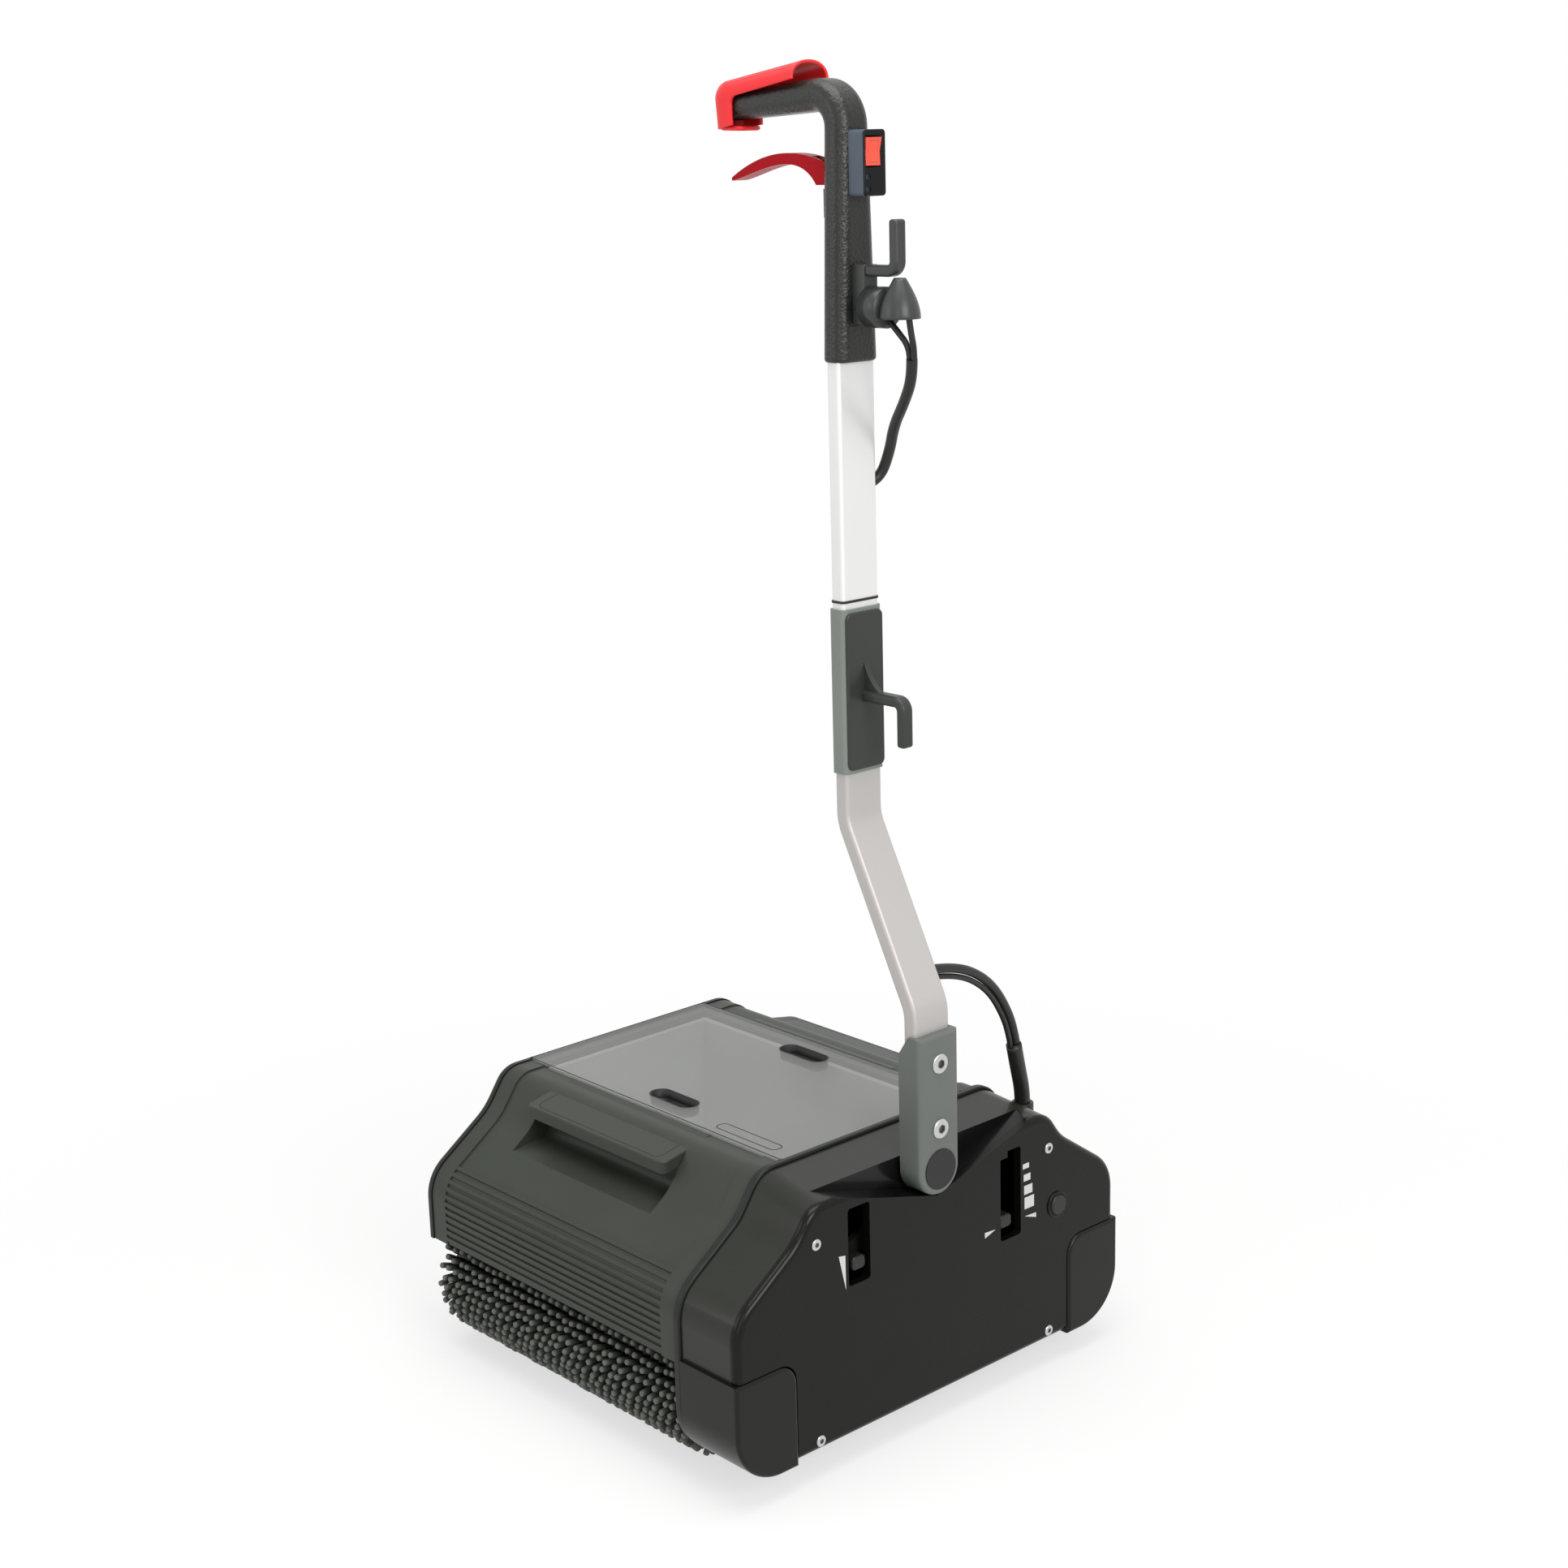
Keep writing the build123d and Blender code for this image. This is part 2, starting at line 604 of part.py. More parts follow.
def height_slot():
    """Slot for the brush height lever's tab, stepped down at its upper inner corner."""
    near_y = HEIGHT_LEVER_Y + HEIGHT_LEVER_ARM * math.cos(math.radians(HEIGHT_LEVER_TURN / 2))
    far_y = HEIGHT_LEVER_Y + HEIGHT_LEVER_ARM
    face = lever_slot(HEIGHT_LEVER_Z, HEIGHT_LEVER_ARM, HEIGHT_LEVER_TURN, near_y, far_y, SLOT_MARGIN)
    low_corner = face.bounding_box().min
    high_corner = face.bounding_box().max
    return face - Pos(low_corner.X, high_corner.Y) * Rectangle(2 * SLOT_STEP, 2 * SLOT_STEP_DROP)


def bumper_region(margin):
    """Side-view area of the front bumper, grown by a margin on its inner and top sides."""
    y0 = -HALF_DEPTH - POCKET_DEPTH
    y1 = -bumper_inner_y + margin
    z1 = BUMPER_TOP_Z + margin
    area = side_rect(y0, y1, 0, z1)
    inner_top = area.vertices().sort_by(Axis.X)[-2:].sort_by(Axis.Y)[-1]
    return fillet(inner_top, BUMPER_CORNER)


def side_cover():
    """Outer cover with a rounded rim, the pocket's V, the two lever slots and the breaker's hole."""
    cover = slab(outline(0, COVER_DROP), x_cover_in, x_cover_out)
    cover = fillet(outer_edges(cover), EDGE_ROUND)
    rim_radius = BUTTON_RADIUS + SLOT_CLEARANCE + BUTTON_RIM
    rim = rod_x(rim_radius, x_cover_in, x_cover_out + BUTTON_RIM_PROUD, button_y, BUTTON_Z)
    cover += fillet(outer_edges(rim), 0.8 * BUTTON_RIM_PROUD)
    cover -= slab(above_pocket(), x_cover_in - 1, x_cover_out + 1)
    for face in (bumper_region(BUMPER_SEAM), mirror(bumper_region(BUMPER_SEAM), about=Plane.YZ)):
        cover -= slab(face, x_cover_in - 1, x_cover_out + 1)
    for face in (mop_slot(), height_slot()):
        cover -= slab(face, x_cover_in - 1, x_cover_out + 1)
    hole_end = x_cover_out + 2 * BUTTON_RIM_PROUD
    cover -= rod_x(BUTTON_RADIUS + SLOT_CLEARANCE, x_cover_in - 1, hole_end, button_y, BUTTON_Z)
    for y in (-cover_screw_y, cover_screw_y):
        for z in COVER_SCREWS_Z:
            cover -= rod_x(COVER_SCREW_SHANK + SEAT_CLEARANCE, x_cover_in - 1, x_cover_out + 1, y, z)
            cover -= rod_x(COVER_SCREW_HEAD + SEAT_CLEARANCE, x_cover_out - CAP_DEPTH, x_cover_out + 1, y, z)
    return cover


def front_bumper():
    """Corner guard: a plate on the side and a lip that wraps round the front of the housing."""
    outer = outline(-BUMPER_PROUD) & bumper_region(0)
    plate = slab(outer, x_cover_in, x_cover_out + BUMPER_SIDE_PROUD)
    plate = fillet(outer_edges(plate), BUMPER_PROUD)
    wrap_face = (outline(-BUMPER_PROUD) - outline(-PANEL_GAP)) & bumper_region(0)
    return plate + slab(wrap_face, x_inner_out + BEAD_LAP + PANEL_GAP, x_cover_in)


def cover_screws():
    """Four pan-head screws of the side cover."""
    screws = []
    for y in (-cover_screw_y, cover_screw_y):
        for z in COVER_SCREWS_Z:
            head = rod_x(COVER_SCREW_HEAD, x_cover_out - CAP_DEPTH, x_cover_out + PANEL_GAP, y, z)
            shank = rod_x(COVER_SCREW_SHANK, x_cover_in - COVER_THICKNESS, x_cover_out - CAP_DEPTH, y, z)
            screws.append(head + shank)
    return Compound(children=screws)


def base_frame():
    """Channel between the side plates that carries the tank, the trays and the wheel carriage."""
    floor_top = BASE_FLOOR_Z + BASE_FLOOR
    face = side_rect(-BASE_HALF, BASE_HALF, BASE_FLOOR_Z, floor_top)
    for side in (-1, 1):
        wall_y = side * (BASE_HALF - BASE_WALL / 2)
        face += Pos(wall_y, (BASE_SKIRT_Z + BASE_TOP_Z) / 2) * Rectangle(BASE_WALL, BASE_TOP_Z - BASE_SKIRT_Z)
        rail_y = side * (BASE_HALF + RAIL_REACH / 2)
        face += Pos(rail_y, rail_top - RAIL_HEIGHT / 2) * Rectangle(RAIL_REACH, RAIL_HEIGHT)
    frame = slab(face, x_left_in, x_bay_right)
    for x in guide_places:
        frame += rod_z(GUIDE_BOSS_RADIUS, guide_boss_low, floor_top, x, 0)
        frame -= rod_z(GUIDE_RADIUS + RUN_CLEARANCE, CARRIAGE_Z, floor_top + 1, x, 0)
    frame -= block(
        riser_x - RISER_THICKNESS, riser_x + 2 * RISER_THICKNESS,
        riser_y0 - SLOT_CLEARANCE, riser_y1 + SLOT_CLEARANCE, BASE_SKIRT_Z, floor_top + 1,
    )
    frame -= rod_y(DRIP_RADIUS + SLOT_CLEARANCE, -BASE_HALF - 1, BASE_HALF + 1, drip_x, DRIP_Z)
    return frame


def motor_tunnel(gap):
    """Side-view arch over the motor, with straight legs down to the tank's floor."""
    radius = MOTOR_RADIUS + gap
    arch = Pos(-gear_radius, MOTOR_Z) * Circle(radius)
    return arch + side_rect(-gear_radius - radius, -gear_radius + radius, BASE_FLOOR_Z, MOTOR_Z)


def tank_section(inset, bottom_z, top_z):
    """Side-view section of the tank with sloping walls, moved inwards by inset."""
    top_half = BASE_HALF - BASE_WALL - PANEL_GAP - inset
    low_half = top_half - TANK_DRAFT
    low_corners = [(-low_half, bottom_z), (low_half, bottom_z)]
    high_corners = [(top_half, top_z), (-top_half, top_z)]
    return Polygon(*low_corners, *high_corners, align=None)


def solution_tank():
    """Open tank with sloping walls, a tunnel over the motor and a rim that hangs on the base channel."""
    rim_z = BASE_TOP_Z + TANK_RIM
    tank = slab(tank_section(0, TANK_BOTTOM_Z, rim_z), tank_x0, tank_x1)
    rim = block(tank_x0 - TANK_WALL, tank_x1 + TANK_WALL, -BASE_HALF, BASE_HALF, BASE_TOP_Z, rim_z)
    hollow = slab(
        tank_section(TANK_WALL, TANK_BOTTOM_Z + TANK_WALL, rim_z + TANK_WALL),
        tank_x0 + TANK_WALL, tank_x1 - TANK_WALL,
    )
    tunnel = slab(motor_tunnel(TUNNEL_GAP + TANK_WALL), tunnel_x - TANK_WALL, tank_x1)
    bore = slab(motor_tunnel(TUNNEL_GAP), tunnel_x, tank_x1 + 1)
    return tank + rim - (hollow - tunnel) - bore


def drip_manifold():
    """Two drip bars above the brushes joined by a cross pipe at the left side."""
    cross = rod_y(DRIP_RADIUS, -drip_y, drip_y, drip_x, DRIP_Z)
    bars = [rod_x(DRIP_RADIUS, drip_x, x_bay_right - BRUSH_END_GAP, y, DRIP_Z) for y in (-drip_y, drip_y)]
    ends = [Pos(drip_x, y, DRIP_Z) * Sphere(DRIP_RADIUS) for y in (-drip_y, drip_y)]
    return cross + bars + ends


def dosing_valve():
    """Water valve clipped over the cross pipe, against the left plate."""
    half = TANK_LEFT_GAP
    body = block(x_left_in, tank_x0 - PANEL_GAP, -2 * half, half, DRIP_Z - half, DRIP_Z + half)
    return body - rod_y(DRIP_RADIUS + SEAT_CLEARANCE, -3 * half, 2 * half, drip_x, DRIP_Z)


def motor():
    """Motor can with a square flange on the inner plate, a stepped tail and a bore for its shaft."""
    flange_x = x_bay_right - MOTOR_FLANGE
    tail = MOTOR_FLANGE_SIDE / 4
    can = rod_x(MOTOR_RADIUS, flange_x - MOTOR_LENGTH, flange_x, -gear_radius, MOTOR_Z)
    can = chamfer(can.faces().sort_by(Axis.X)[0].edges(), TUNNEL_GAP)
    flange = Pos(-gear_radius, MOTOR_Z) * RectangleRounded(MOTOR_FLANGE_SIDE, MOTOR_FLANGE_SIDE, tail / 2)
    body = can + slab(flange, flange_x, x_bay_right)
    bore_radius = SHAFT_RADIUS + RUN_CLEARANCE
    return body - rod_x(bore_radius, motor_shaft_x0 - 1, x_bay_right + 1, -gear_radius, MOTOR_Z)


def gear_face(phase):
    """Spur gear with straight-flanked teeth, thinned for backlash."""
    root = gear_radius - 1.2 * GEAR_MODULE
    tip = gear_radius + 0.8 * GEAR_MODULE
    pitch = 360 / GEAR_TEETH
    root_half = 0.30 * pitch
    tip_half = 0.11 * pitch
    points = []
    for tooth in range(GEAR_TEETH):
        middle = phase + tooth * pitch
        corners = ((root, -root_half), (tip, -tip_half), (tip, tip_half), (root, root_half))
        for radius, turn in corners:
            angle = math.radians(middle + turn)
            points.append((radius * math.cos(angle), radius * math.sin(angle)))
    return Polygon(*points, align=None)


def motor_shaft():
    """Motor shaft with the pinion cut on it."""
    shaft = rod_x(SHAFT_RADIUS, motor_shaft_x0, x_bridge + BRIDGE_THICKNESS, -gear_radius, MOTOR_Z)
    return shaft + slab(Pos(-gear_radius, MOTOR_Z) * gear_face(0), x_gear, x_gear + GEAR_WIDTH)


def ring_pulley(radius, bore, y, z):
    """Smooth belt pulley with a bore and a shallow dish in its outer face."""
    wheel = rod_x(radius, x_pulley, x_pulley + PULLEY_WIDTH, y, z)
    return wheel - rod_x(bore, x_pulley - 1, x_pulley + PULLEY_WIDTH + 1, y, z)


def brush_pulley():
    """Large pulley on the front brush's stub, dished between its hub and its rim."""
    wheel = ring_pulley(BRUSH_PULLEY_RADIUS, STUB_RADIUS + SEAT_CLEARANCE, -brush_y, BRUSH_Z)
    dish_x = x_pulley + PULLEY_WIDTH / 2
    rim = BRUSH_PULLEY_RADIUS - HOUSING_WALL
    dish = rod_x(rim, dish_x, x_pulley + PULLEY_WIDTH + 1, -brush_y, BRUSH_Z)
    hub = rod_x(BUSH_RADIUS, dish_x, x_pulley + PULLEY_WIDTH + 1, -brush_y, BRUSH_Z)
    return wheel - (dish - hub)


def layshaft():
    """Reversing shaft: its gear meshes with the pinion and its pulley drives the rear brush."""
    shaft = rod_x(SHAFT_RADIUS, x_bay_right + PANEL_GAP, x_bridge + BRIDGE_THICKNESS, gear_radius, MOTOR_Z)
    mesh_phase = 180 + 180 / GEAR_TEETH
    gear = slab(Pos(gear_radius, MOTOR_Z) * gear_face(mesh_phase), x_gear, x_gear + GEAR_WIDTH)
    pulley = rod_x(DRIVE_PULLEY_RADIUS, x_pulley, x_pulley + PULLEY_WIDTH, gear_radius, MOTOR_Z)
    return shaft + gear + pulley


def gear_bridge():
    """Plate on four posts that carries the outer ends of the motor shaft and the layshaft."""
    low_z = MOTOR_Z - BRIDGE_HEIGHT / 2
    high_z = MOTOR_Z + BRIDGE_HEIGHT / 2
    face = side_rect(-BRIDGE_HALF, BRIDGE_HALF, low_z, high_z)
    bridge = slab(face, x_bridge, x_bridge + BRIDGE_THICKNESS)
    for y in (-BRIDGE_HALF + POST_RADIUS, BRIDGE_HALF - POST_RADIUS):
        for z in (low_z + POST_RADIUS, high_z - POST_RADIUS):
            bridge += rod_x(POST_RADIUS, x_inner_out, x_bridge, y, z)
    bore_radius = SHAFT_RADIUS + RUN_CLEARANCE
    for y in (-gear_radius, gear_radius):
        bridge -= rod_x(bore_radius, x_bridge - 1, x_bridge + BRIDGE_THICKNESS + 1, y, MOTOR_Z)
    return bridge


def belt_loop(grow):
    """Side-view loop round the front pair of pulleys, outside them by grow."""
    small = Pos(-gear_radius, MOTOR_Z) * Circle(DRIVE_PULLEY_RADIUS + grow)
    large = Pos(-brush_y, BRUSH_Z) * Circle(BRUSH_PULLEY_RADIUS + grow)
    return make_hull((small + large).edges())


def front_belt():
    """Flat drive belt from the motor pulley to the front brush."""
    start = x_pulley + (PULLEY_WIDTH - BELT_WIDTH) / 2
    face = belt_loop(BELT_GAP + BELT_THICKNESS) - belt_loop(BELT_GAP)
    return slab(face, start, start + BELT_WIDTH)


def brush_bushes():
    """Four plain bushes that carry the brush stubs in the two side plates."""
    bushes = []
    for x0, x1 in ((x_left_out + HOUSING_WALL, x_left_in), (x_bay_right, x_inner_out)):
        for y in (-brush_y, brush_y):
            ring = rod_x(BUSH_RADIUS, x0, x1, y, BRUSH_Z)
            bushes.append(ring - rod_x(STUB_RADIUS + RUN_CLEARANCE, x0 - 1, x1 + 1, y, BRUSH_Z))
    return Compound(children=bushes)


def front_brush_core():
    """Roller body with the stub shafts at its ends."""
    roller = rod_x(CORE_RADIUS, brush_x0, brush_x1, -brush_y, BRUSH_Z)
    stub_x0 = x_left_out + HOUSING_WALL + PANEL_GAP
    stub = rod_x(STUB_RADIUS, stub_x0, x_pulley + PULLEY_WIDTH, -brush_y, BRUSH_Z)
    return roller + stub


def front_brush_tufts():
    """Many-sided backing sleeve with staggered rows of tapered bristle tufts."""
    backing_face = RegularPolygon(BACKING_APOTHEM, TUFTS_AROUND, major_radius=False)
    backing_face -= Circle(CORE_RADIUS + SEAT_CLEARANCE)
    backing = slab(Pos(-brush_y, BRUSH_Z) * backing_face, tuft_x0, brush_x1)
    height = BRUSH_RADIUS - BACKING_APOTHEM
    pitch = (brush_x1 - tuft_x0) / (TUFTS_ALONG + 0.5)
    root_plane = Plane(origin=(0, 0, BACKING_APOTHEM - PANEL_GAP))
    tip_plane = Plane(origin=(0, 0, BACKING_APOTHEM + height))
    root = root_plane * Rectangle(TUFT_ROOT, TUFT_ROOT)
    tip = tip_plane * Rectangle(TUFT_TIP, TUFT_TIP)
    tuft = loft([root, tip], ruled=True)
    strands = []
    for row in range(TUFTS_AROUND):
        turn = 360 / TUFTS_AROUND * row
        for step in range(TUFTS_ALONG):
            x = tuft_x0 + pitch * (step + 0.5 + 0.5 * (row % 2))
            strands.append(Pos(x, -brush_y, BRUSH_Z) * Rot(X=turn) * tuft)
    return backing.fuse(*strands)


def wheel_carriage():
    """Plate with axle ears, two guide posts and the riser that the height lever works."""
    plate_top = CARRIAGE_Z + CARRIAGE_PLATE
    plate_x1 = riser_x + RISER_THICKNESS
    carriage = block(carriage_x0, plate_x1, -CARRIAGE_HALF, CARRIAGE_HALF, CARRIAGE_Z, plate_top)
    for y in (-WHEEL_Y, WHEEL_Y):
        ear = side_rect(y - EAR_HALF, y + EAR_HALF, WHEEL_RADIUS, CARRIAGE_Z)
        ear += Pos(y, WHEEL_RADIUS) * Circle(EAR_HALF)
        ear -= Pos(y, WHEEL_RADIUS) * Circle(AXLE_RADIUS + RUN_CLEARANCE)
        for x in ear_places:
            carriage += slab(ear, x, x + EAR_THICKNESS)
    for x in guide_places:
        carriage += rod_z(GUIDE_RADIUS, CARRIAGE_Z, BASE_FLOOR_Z + BASE_FLOOR, x, 0)
    riser_top = crank_z + 3 * CRANK_PIN_RADIUS
    riser = side_rect(riser_y0, riser_y1, CARRIAGE_Z, riser_top)
    slot_height = 2 * (CRANK_PIN_RADIUS + SLOT_CLEARANCE)
    slot_length = slot_height + CRANK_PIN_RADIUS
    slot = Pos(crank_y, crank_z) * RectangleRounded(slot_length, slot_height, CRANK_PIN_RADIUS)
    return carriage + slab(riser - slot, riser_x, riser_x + RISER_THICKNESS)


def front_axle():
    """Axle of the front wheel pair."""
    reach = EAR_THICKNESS + WHEEL_WIDTH
    left_end = ear_places[0] - reach
    right_end = ear_places[1] + EAR_THICKNESS + reach
    return rod_x(AXLE_RADIUS, left_end, right_end, -WHEEL_Y, WHEEL_RADIUS)


def front_wheels():
    """Two small wheels with a rounded tread, outside the carriage ears."""
    wheels = []
    left_x = ear_places[0] - PANEL_GAP - WHEEL_WIDTH
    right_x = ear_places[1] + EAR_THICKNESS + PANEL_GAP
    for x in (left_x, right_x):
        disc = rod_x(WHEEL_RADIUS, x, x + WHEEL_WIDTH, -WHEEL_Y, WHEEL_RADIUS)
        disc = fillet(disc.edges().filter_by(GeomType.CIRCLE), HOUSING_WALL)
        bore = rod_x(AXLE_RADIUS + SEAT_CLEARANCE, x - 1, x + WHEEL_WIDTH + 1, -WHEEL_Y, WHEEL_RADIUS)
        wheels.append(disc - bore)
    return Compound(children=wheels)


def side_lever(pivot_y, pivot_z, arm_length, side, tilt, shaft_x0):
    """Lever in the housing: a shaft, a plate arm and a ribbed thumb tab in the cover's slot."""
    tab_y = pivot_y + side * arm_length * math.cos(math.radians(tilt))
    tab_z = pivot_z - arm_length * math.sin(math.radians(tilt))
    shaft = rod_x(SHAFT_RADIUS, shaft_x0, lever_x + LEVER_PLATE, pivot_y, pivot_z)
    hub = Pos(pivot_y, pivot_z) * Circle(LEVER_HUB_RADIUS)
    end = Pos(tab_y, tab_z) * Circle(TAB_WIDTH / 2)
    arm = slab(make_hull((hub + end).edges()), lever_x, lever_x + LEVER_PLATE)
    tab_face = Pos(tab_y, tab_z) * RectangleRounded(TAB_WIDTH, TAB_HEIGHT, TAB_HEIGHT / 3)
    tab = slab(tab_face, lever_x, x_cover_out - CAP_DEPTH)
    tab = fillet(outer_edges(tab), CAP_DEPTH)
    return shaft + arm + tab


def height_lever():
    """Brush height lever: its crank pin pushes the wheel carriage down as the tab goes up."""
    crank_x = riser_x + RISER_THICKNESS + PANEL_GAP
    lever = side_lever(HEIGHT_LEVER_Y, HEIGHT_LEVER_Z, HEIGHT_LEVER_ARM, 1, HEIGHT_LEVER_TURN / 2, crank_x)
    hub = Pos(HEIGHT_LEVER_Y, HEIGHT_LEVER_Z) * Circle(LEVER_HUB_RADIUS)
    knuckle = Pos(crank_y, crank_z) * Circle(CRANK_PIN_RADIUS + HOUSING_WALL)
    lever += slab(make_hull((hub + knuckle).edges()), crank_x, x_bay_right - PANEL_GAP)
    return lever + rod_x(CRANK_PIN_RADIUS, riser_x, crank_x, crank_y, crank_z)


def mop_lever():
    """Mop-up lever with a small cam on the inner end of its shaft."""
    cam_x = x_bay_right - PANEL_GAP - CRANK_PIN_RADIUS
    lever = side_lever(-MOP_LEVER_Y, MOP_LEVER_Z, MOP_LEVER_ARM, -1, MOP_LEVER_TURN / 2, cam_x)
    hub = Pos(-MOP_LEVER_Y, MOP_LEVER_Z) * Circle(LEVER_HUB_RADIUS)
    nose = Pos(-MOP_LEVER_Y - CAM_REACH, MOP_LEVER_Z) * Circle(CRANK_PIN_RADIUS)
    return lever + slab(make_hull((hub + nose).edges()), cam_x, x_bay_right - PANEL_GAP)


def breaker_body():
    """Overload breaker behind the cover, bored for its reset button."""
    body = rod_x(BREAKER_RADIUS, x_cover_in - BREAKER_LENGTH, x_cover_in, button_y, BUTTON_Z)
    well = rod_x(BUTTON_RADIUS + SLOT_CLEARANCE, breaker_seat, x_cover_in + 1, button_y, BUTTON_Z)
    return body - well - rod_x(SHAFT_RADIUS + RUN_CLEARANCE, button_stem, x_cover_in, button_y, BUTTON_Z)


def breaker_button():
    """Round reset button with a stem that slides in the breaker."""
    cap = rod_x(BUTTON_RADIUS, x_cover_in, x_cover_out + BUTTON_PROUD, button_y, BUTTON_Z)
    cap = fillet(outer_edges(cap), CAP_DEPTH)
    return cap + rod_x(SHAFT_RADIUS, button_stem + BUTTON_TRAVEL + 1, x_cover_in, button_y, BUTTON_Z)


def lid():
    """Clear lid with a turned-down rim and two finger holes."""
    shell = block(lid_x0, lid_x1, -lid_half, lid_half, lid_low_z, DECK_Z)
    shell = fillet(shell.edges().filter_by(Axis.Z), EDGE_ROUND)
    shell = fillet(outer_edges(shell, Axis.Z), LID_WALL / 2)
    shell -= block(
        lid_x0 + LID_WALL, lid_x1 - LID_WALL, -lid_half + LID_WALL, lid_half - LID_WALL,
        lid_low_z - 1, DECK_Z - LID_WALL,
    )
    for y in (-finger_y, finger_y):
        hole = Plane(origin=(tray_middle, y, lid_low_z)) * SlotOverall(FINGER_LENGTH, FINGER_WIDTH)
        shell -= extrude(hole, amount=2 * LID_HEIGHT)
    return shell


def tray_section(inset):
    """Side-view section of the front tray: the S-shaped ramp over an arch above the brush."""
    inner_y = -tray_inner_y - inset
    area = side_rect(-HALF_DEPTH - 1, inner_y, TRAY_BOTTOM_Z + inset, DECK_Z)
    arch = Pos(-brush_y, BRUSH_Z) * Circle(arch_radius + inset)
    return (outline(TRAY_INSET + inset) & area) - arch


def ramp_rib(distance):
    """One raised rib across the tray's front, at a distance along the ramp from the tray's lower edge."""
    radius = SHOULDER_RADIUS - TRAY_INSET
    upright = shoulder_z - tray_edge_z
    if distance <= upright:
        place = Pos(-HALF_DEPTH + TRAY_INSET, tray_edge_z + distance)
    else:
        turn = (distance - upright) / radius
        y = -HALF_DEPTH + TRAY_INSET + radius * (1 - math.cos(turn))
        place = Pos(y, shoulder_z + radius * math.sin(turn)) * Rot(Z=-math.degrees(turn))
    rib = place * Rectangle(2 * RIB_PROUD, RIB_WIDTH)
    field_x0 = tray_middle - RIB_FIELD / 2
    return slab(rib, field_x0, field_x0 + RIB_FIELD)


def tray_lip():
    """Flat carrying lip that stands out above the ramp."""
    back_y = -tray_inner_y
    front_y = back_y - LIP_REACH
    front_top = LIP_TOP_Z - LIP_DROP
    face = Polygon(
        (back_y, LIP_TOP_Z), (front_y, front_top), (front_y, front_top - LIP_THICKNESS),
        (back_y, LIP_TOP_Z - LIP_THICKNESS), align=None,
    )
    lip = slab(face, lip_middle - LIP_WIDTH / 2, lip_middle + LIP_WIDTH / 2)
    front = lip.faces().sort_by(Axis.Y)[0]
    lip = fillet(front.edges().filter_by(Axis.Z), EDGE_ROUND)
    return fillet(outer_edges(lip, Axis.Z), LID_WALL / 2)


def scoop(grow):
    """Finger space under the lip: an upright back and a floor that falls outwards, grown by grow."""
    back_y = -tray_inner_y - SCOOP_BACK + grow
    floor_z = SCOOP_FLOOR_Z - grow
    out_z = floor_z - (HALF_DEPTH + back_y) * math.tan(math.radians(SCOOP_FALL))
    corners = [(back_y, DECK_Z + 1), (-HALF_DEPTH, DECK_Z + 1), (-HALF_DEPTH, out_z)]
    face = Polygon((back_y, floor_z), *corners, align=None)
    face = fillet(face.vertices().sort_by_distance((back_y, floor_z, 0))[0], SCOOP_ROUND + grow)
    half = LIP_WIDTH / 2 + SCOOP_MARGIN + grow
    return slab(face, lip_middle - half, lip_middle + half)


def end_band(x0, x1):
    """Raised band over the ramp at one end of the rib field."""
    face = outline(TRAY_INSET - RIB_PROUD) - outline(TRAY_INSET + TRAY_WALL / 2)
    return slab(face & side_rect(-HALF_DEPTH - 1, -tray_inner_y, tray_edge_z, DECK_Z), x0, x1)


def front_tray():
    """Dirty-water tray: hollow ramp with a long window to the middle, ribs, finger scoop and lip."""
    shell = slab(tray_section(0), tray_x0, tray_x1) - scoop(0)
    hollow = slab(tray_section(TRAY_WALL), tray_x0 + TRAY_WALL, tray_x1 - TRAY_WALL) - scoop(TRAY_WALL)
    window = block(
        tray_x0 + 2 * TRAY_WALL, tray_x1 - 2 * TRAY_WALL,
        -tray_inner_y - 2 * TRAY_WALL, -tray_inner_y + 1, WINDOW_LOW_Z, DECK_Z - TRAY_INSET - 2 * TRAY_WALL,
    )
    tray = shell - hollow - window + tray_lip()
    for rib in range(RIB_COUNT):
        tray += ramp_rib(RIB_START + rib * RIB_PITCH)
    field_x0 = tray_middle - RIB_FIELD / 2
    return tray + end_band(tray_x0, field_x0) + end_band(field_x0 + RIB_FIELD, tray_x1)


def handle_pivot_shaft():
    """Fixed shaft that the handle's bracket turns on, with a collar behind the pocket's wall."""
    shaft_end = x_bracket_out - CAP_DEPTH - PANEL_GAP
    shaft = rod_x(PIVOT_RADIUS, x_pocket - 2 * HOUSING_WALL, shaft_end, 0, PIVOT_Z)
    collar_x = x_pocket - HOUSING_WALL
    collar = rod_x(PIVOT_RADIUS - HOUSING_WALL / 2, collar_x - HOUSING_WALL, collar_x, 0, PIVOT_Z)
    return shaft + collar


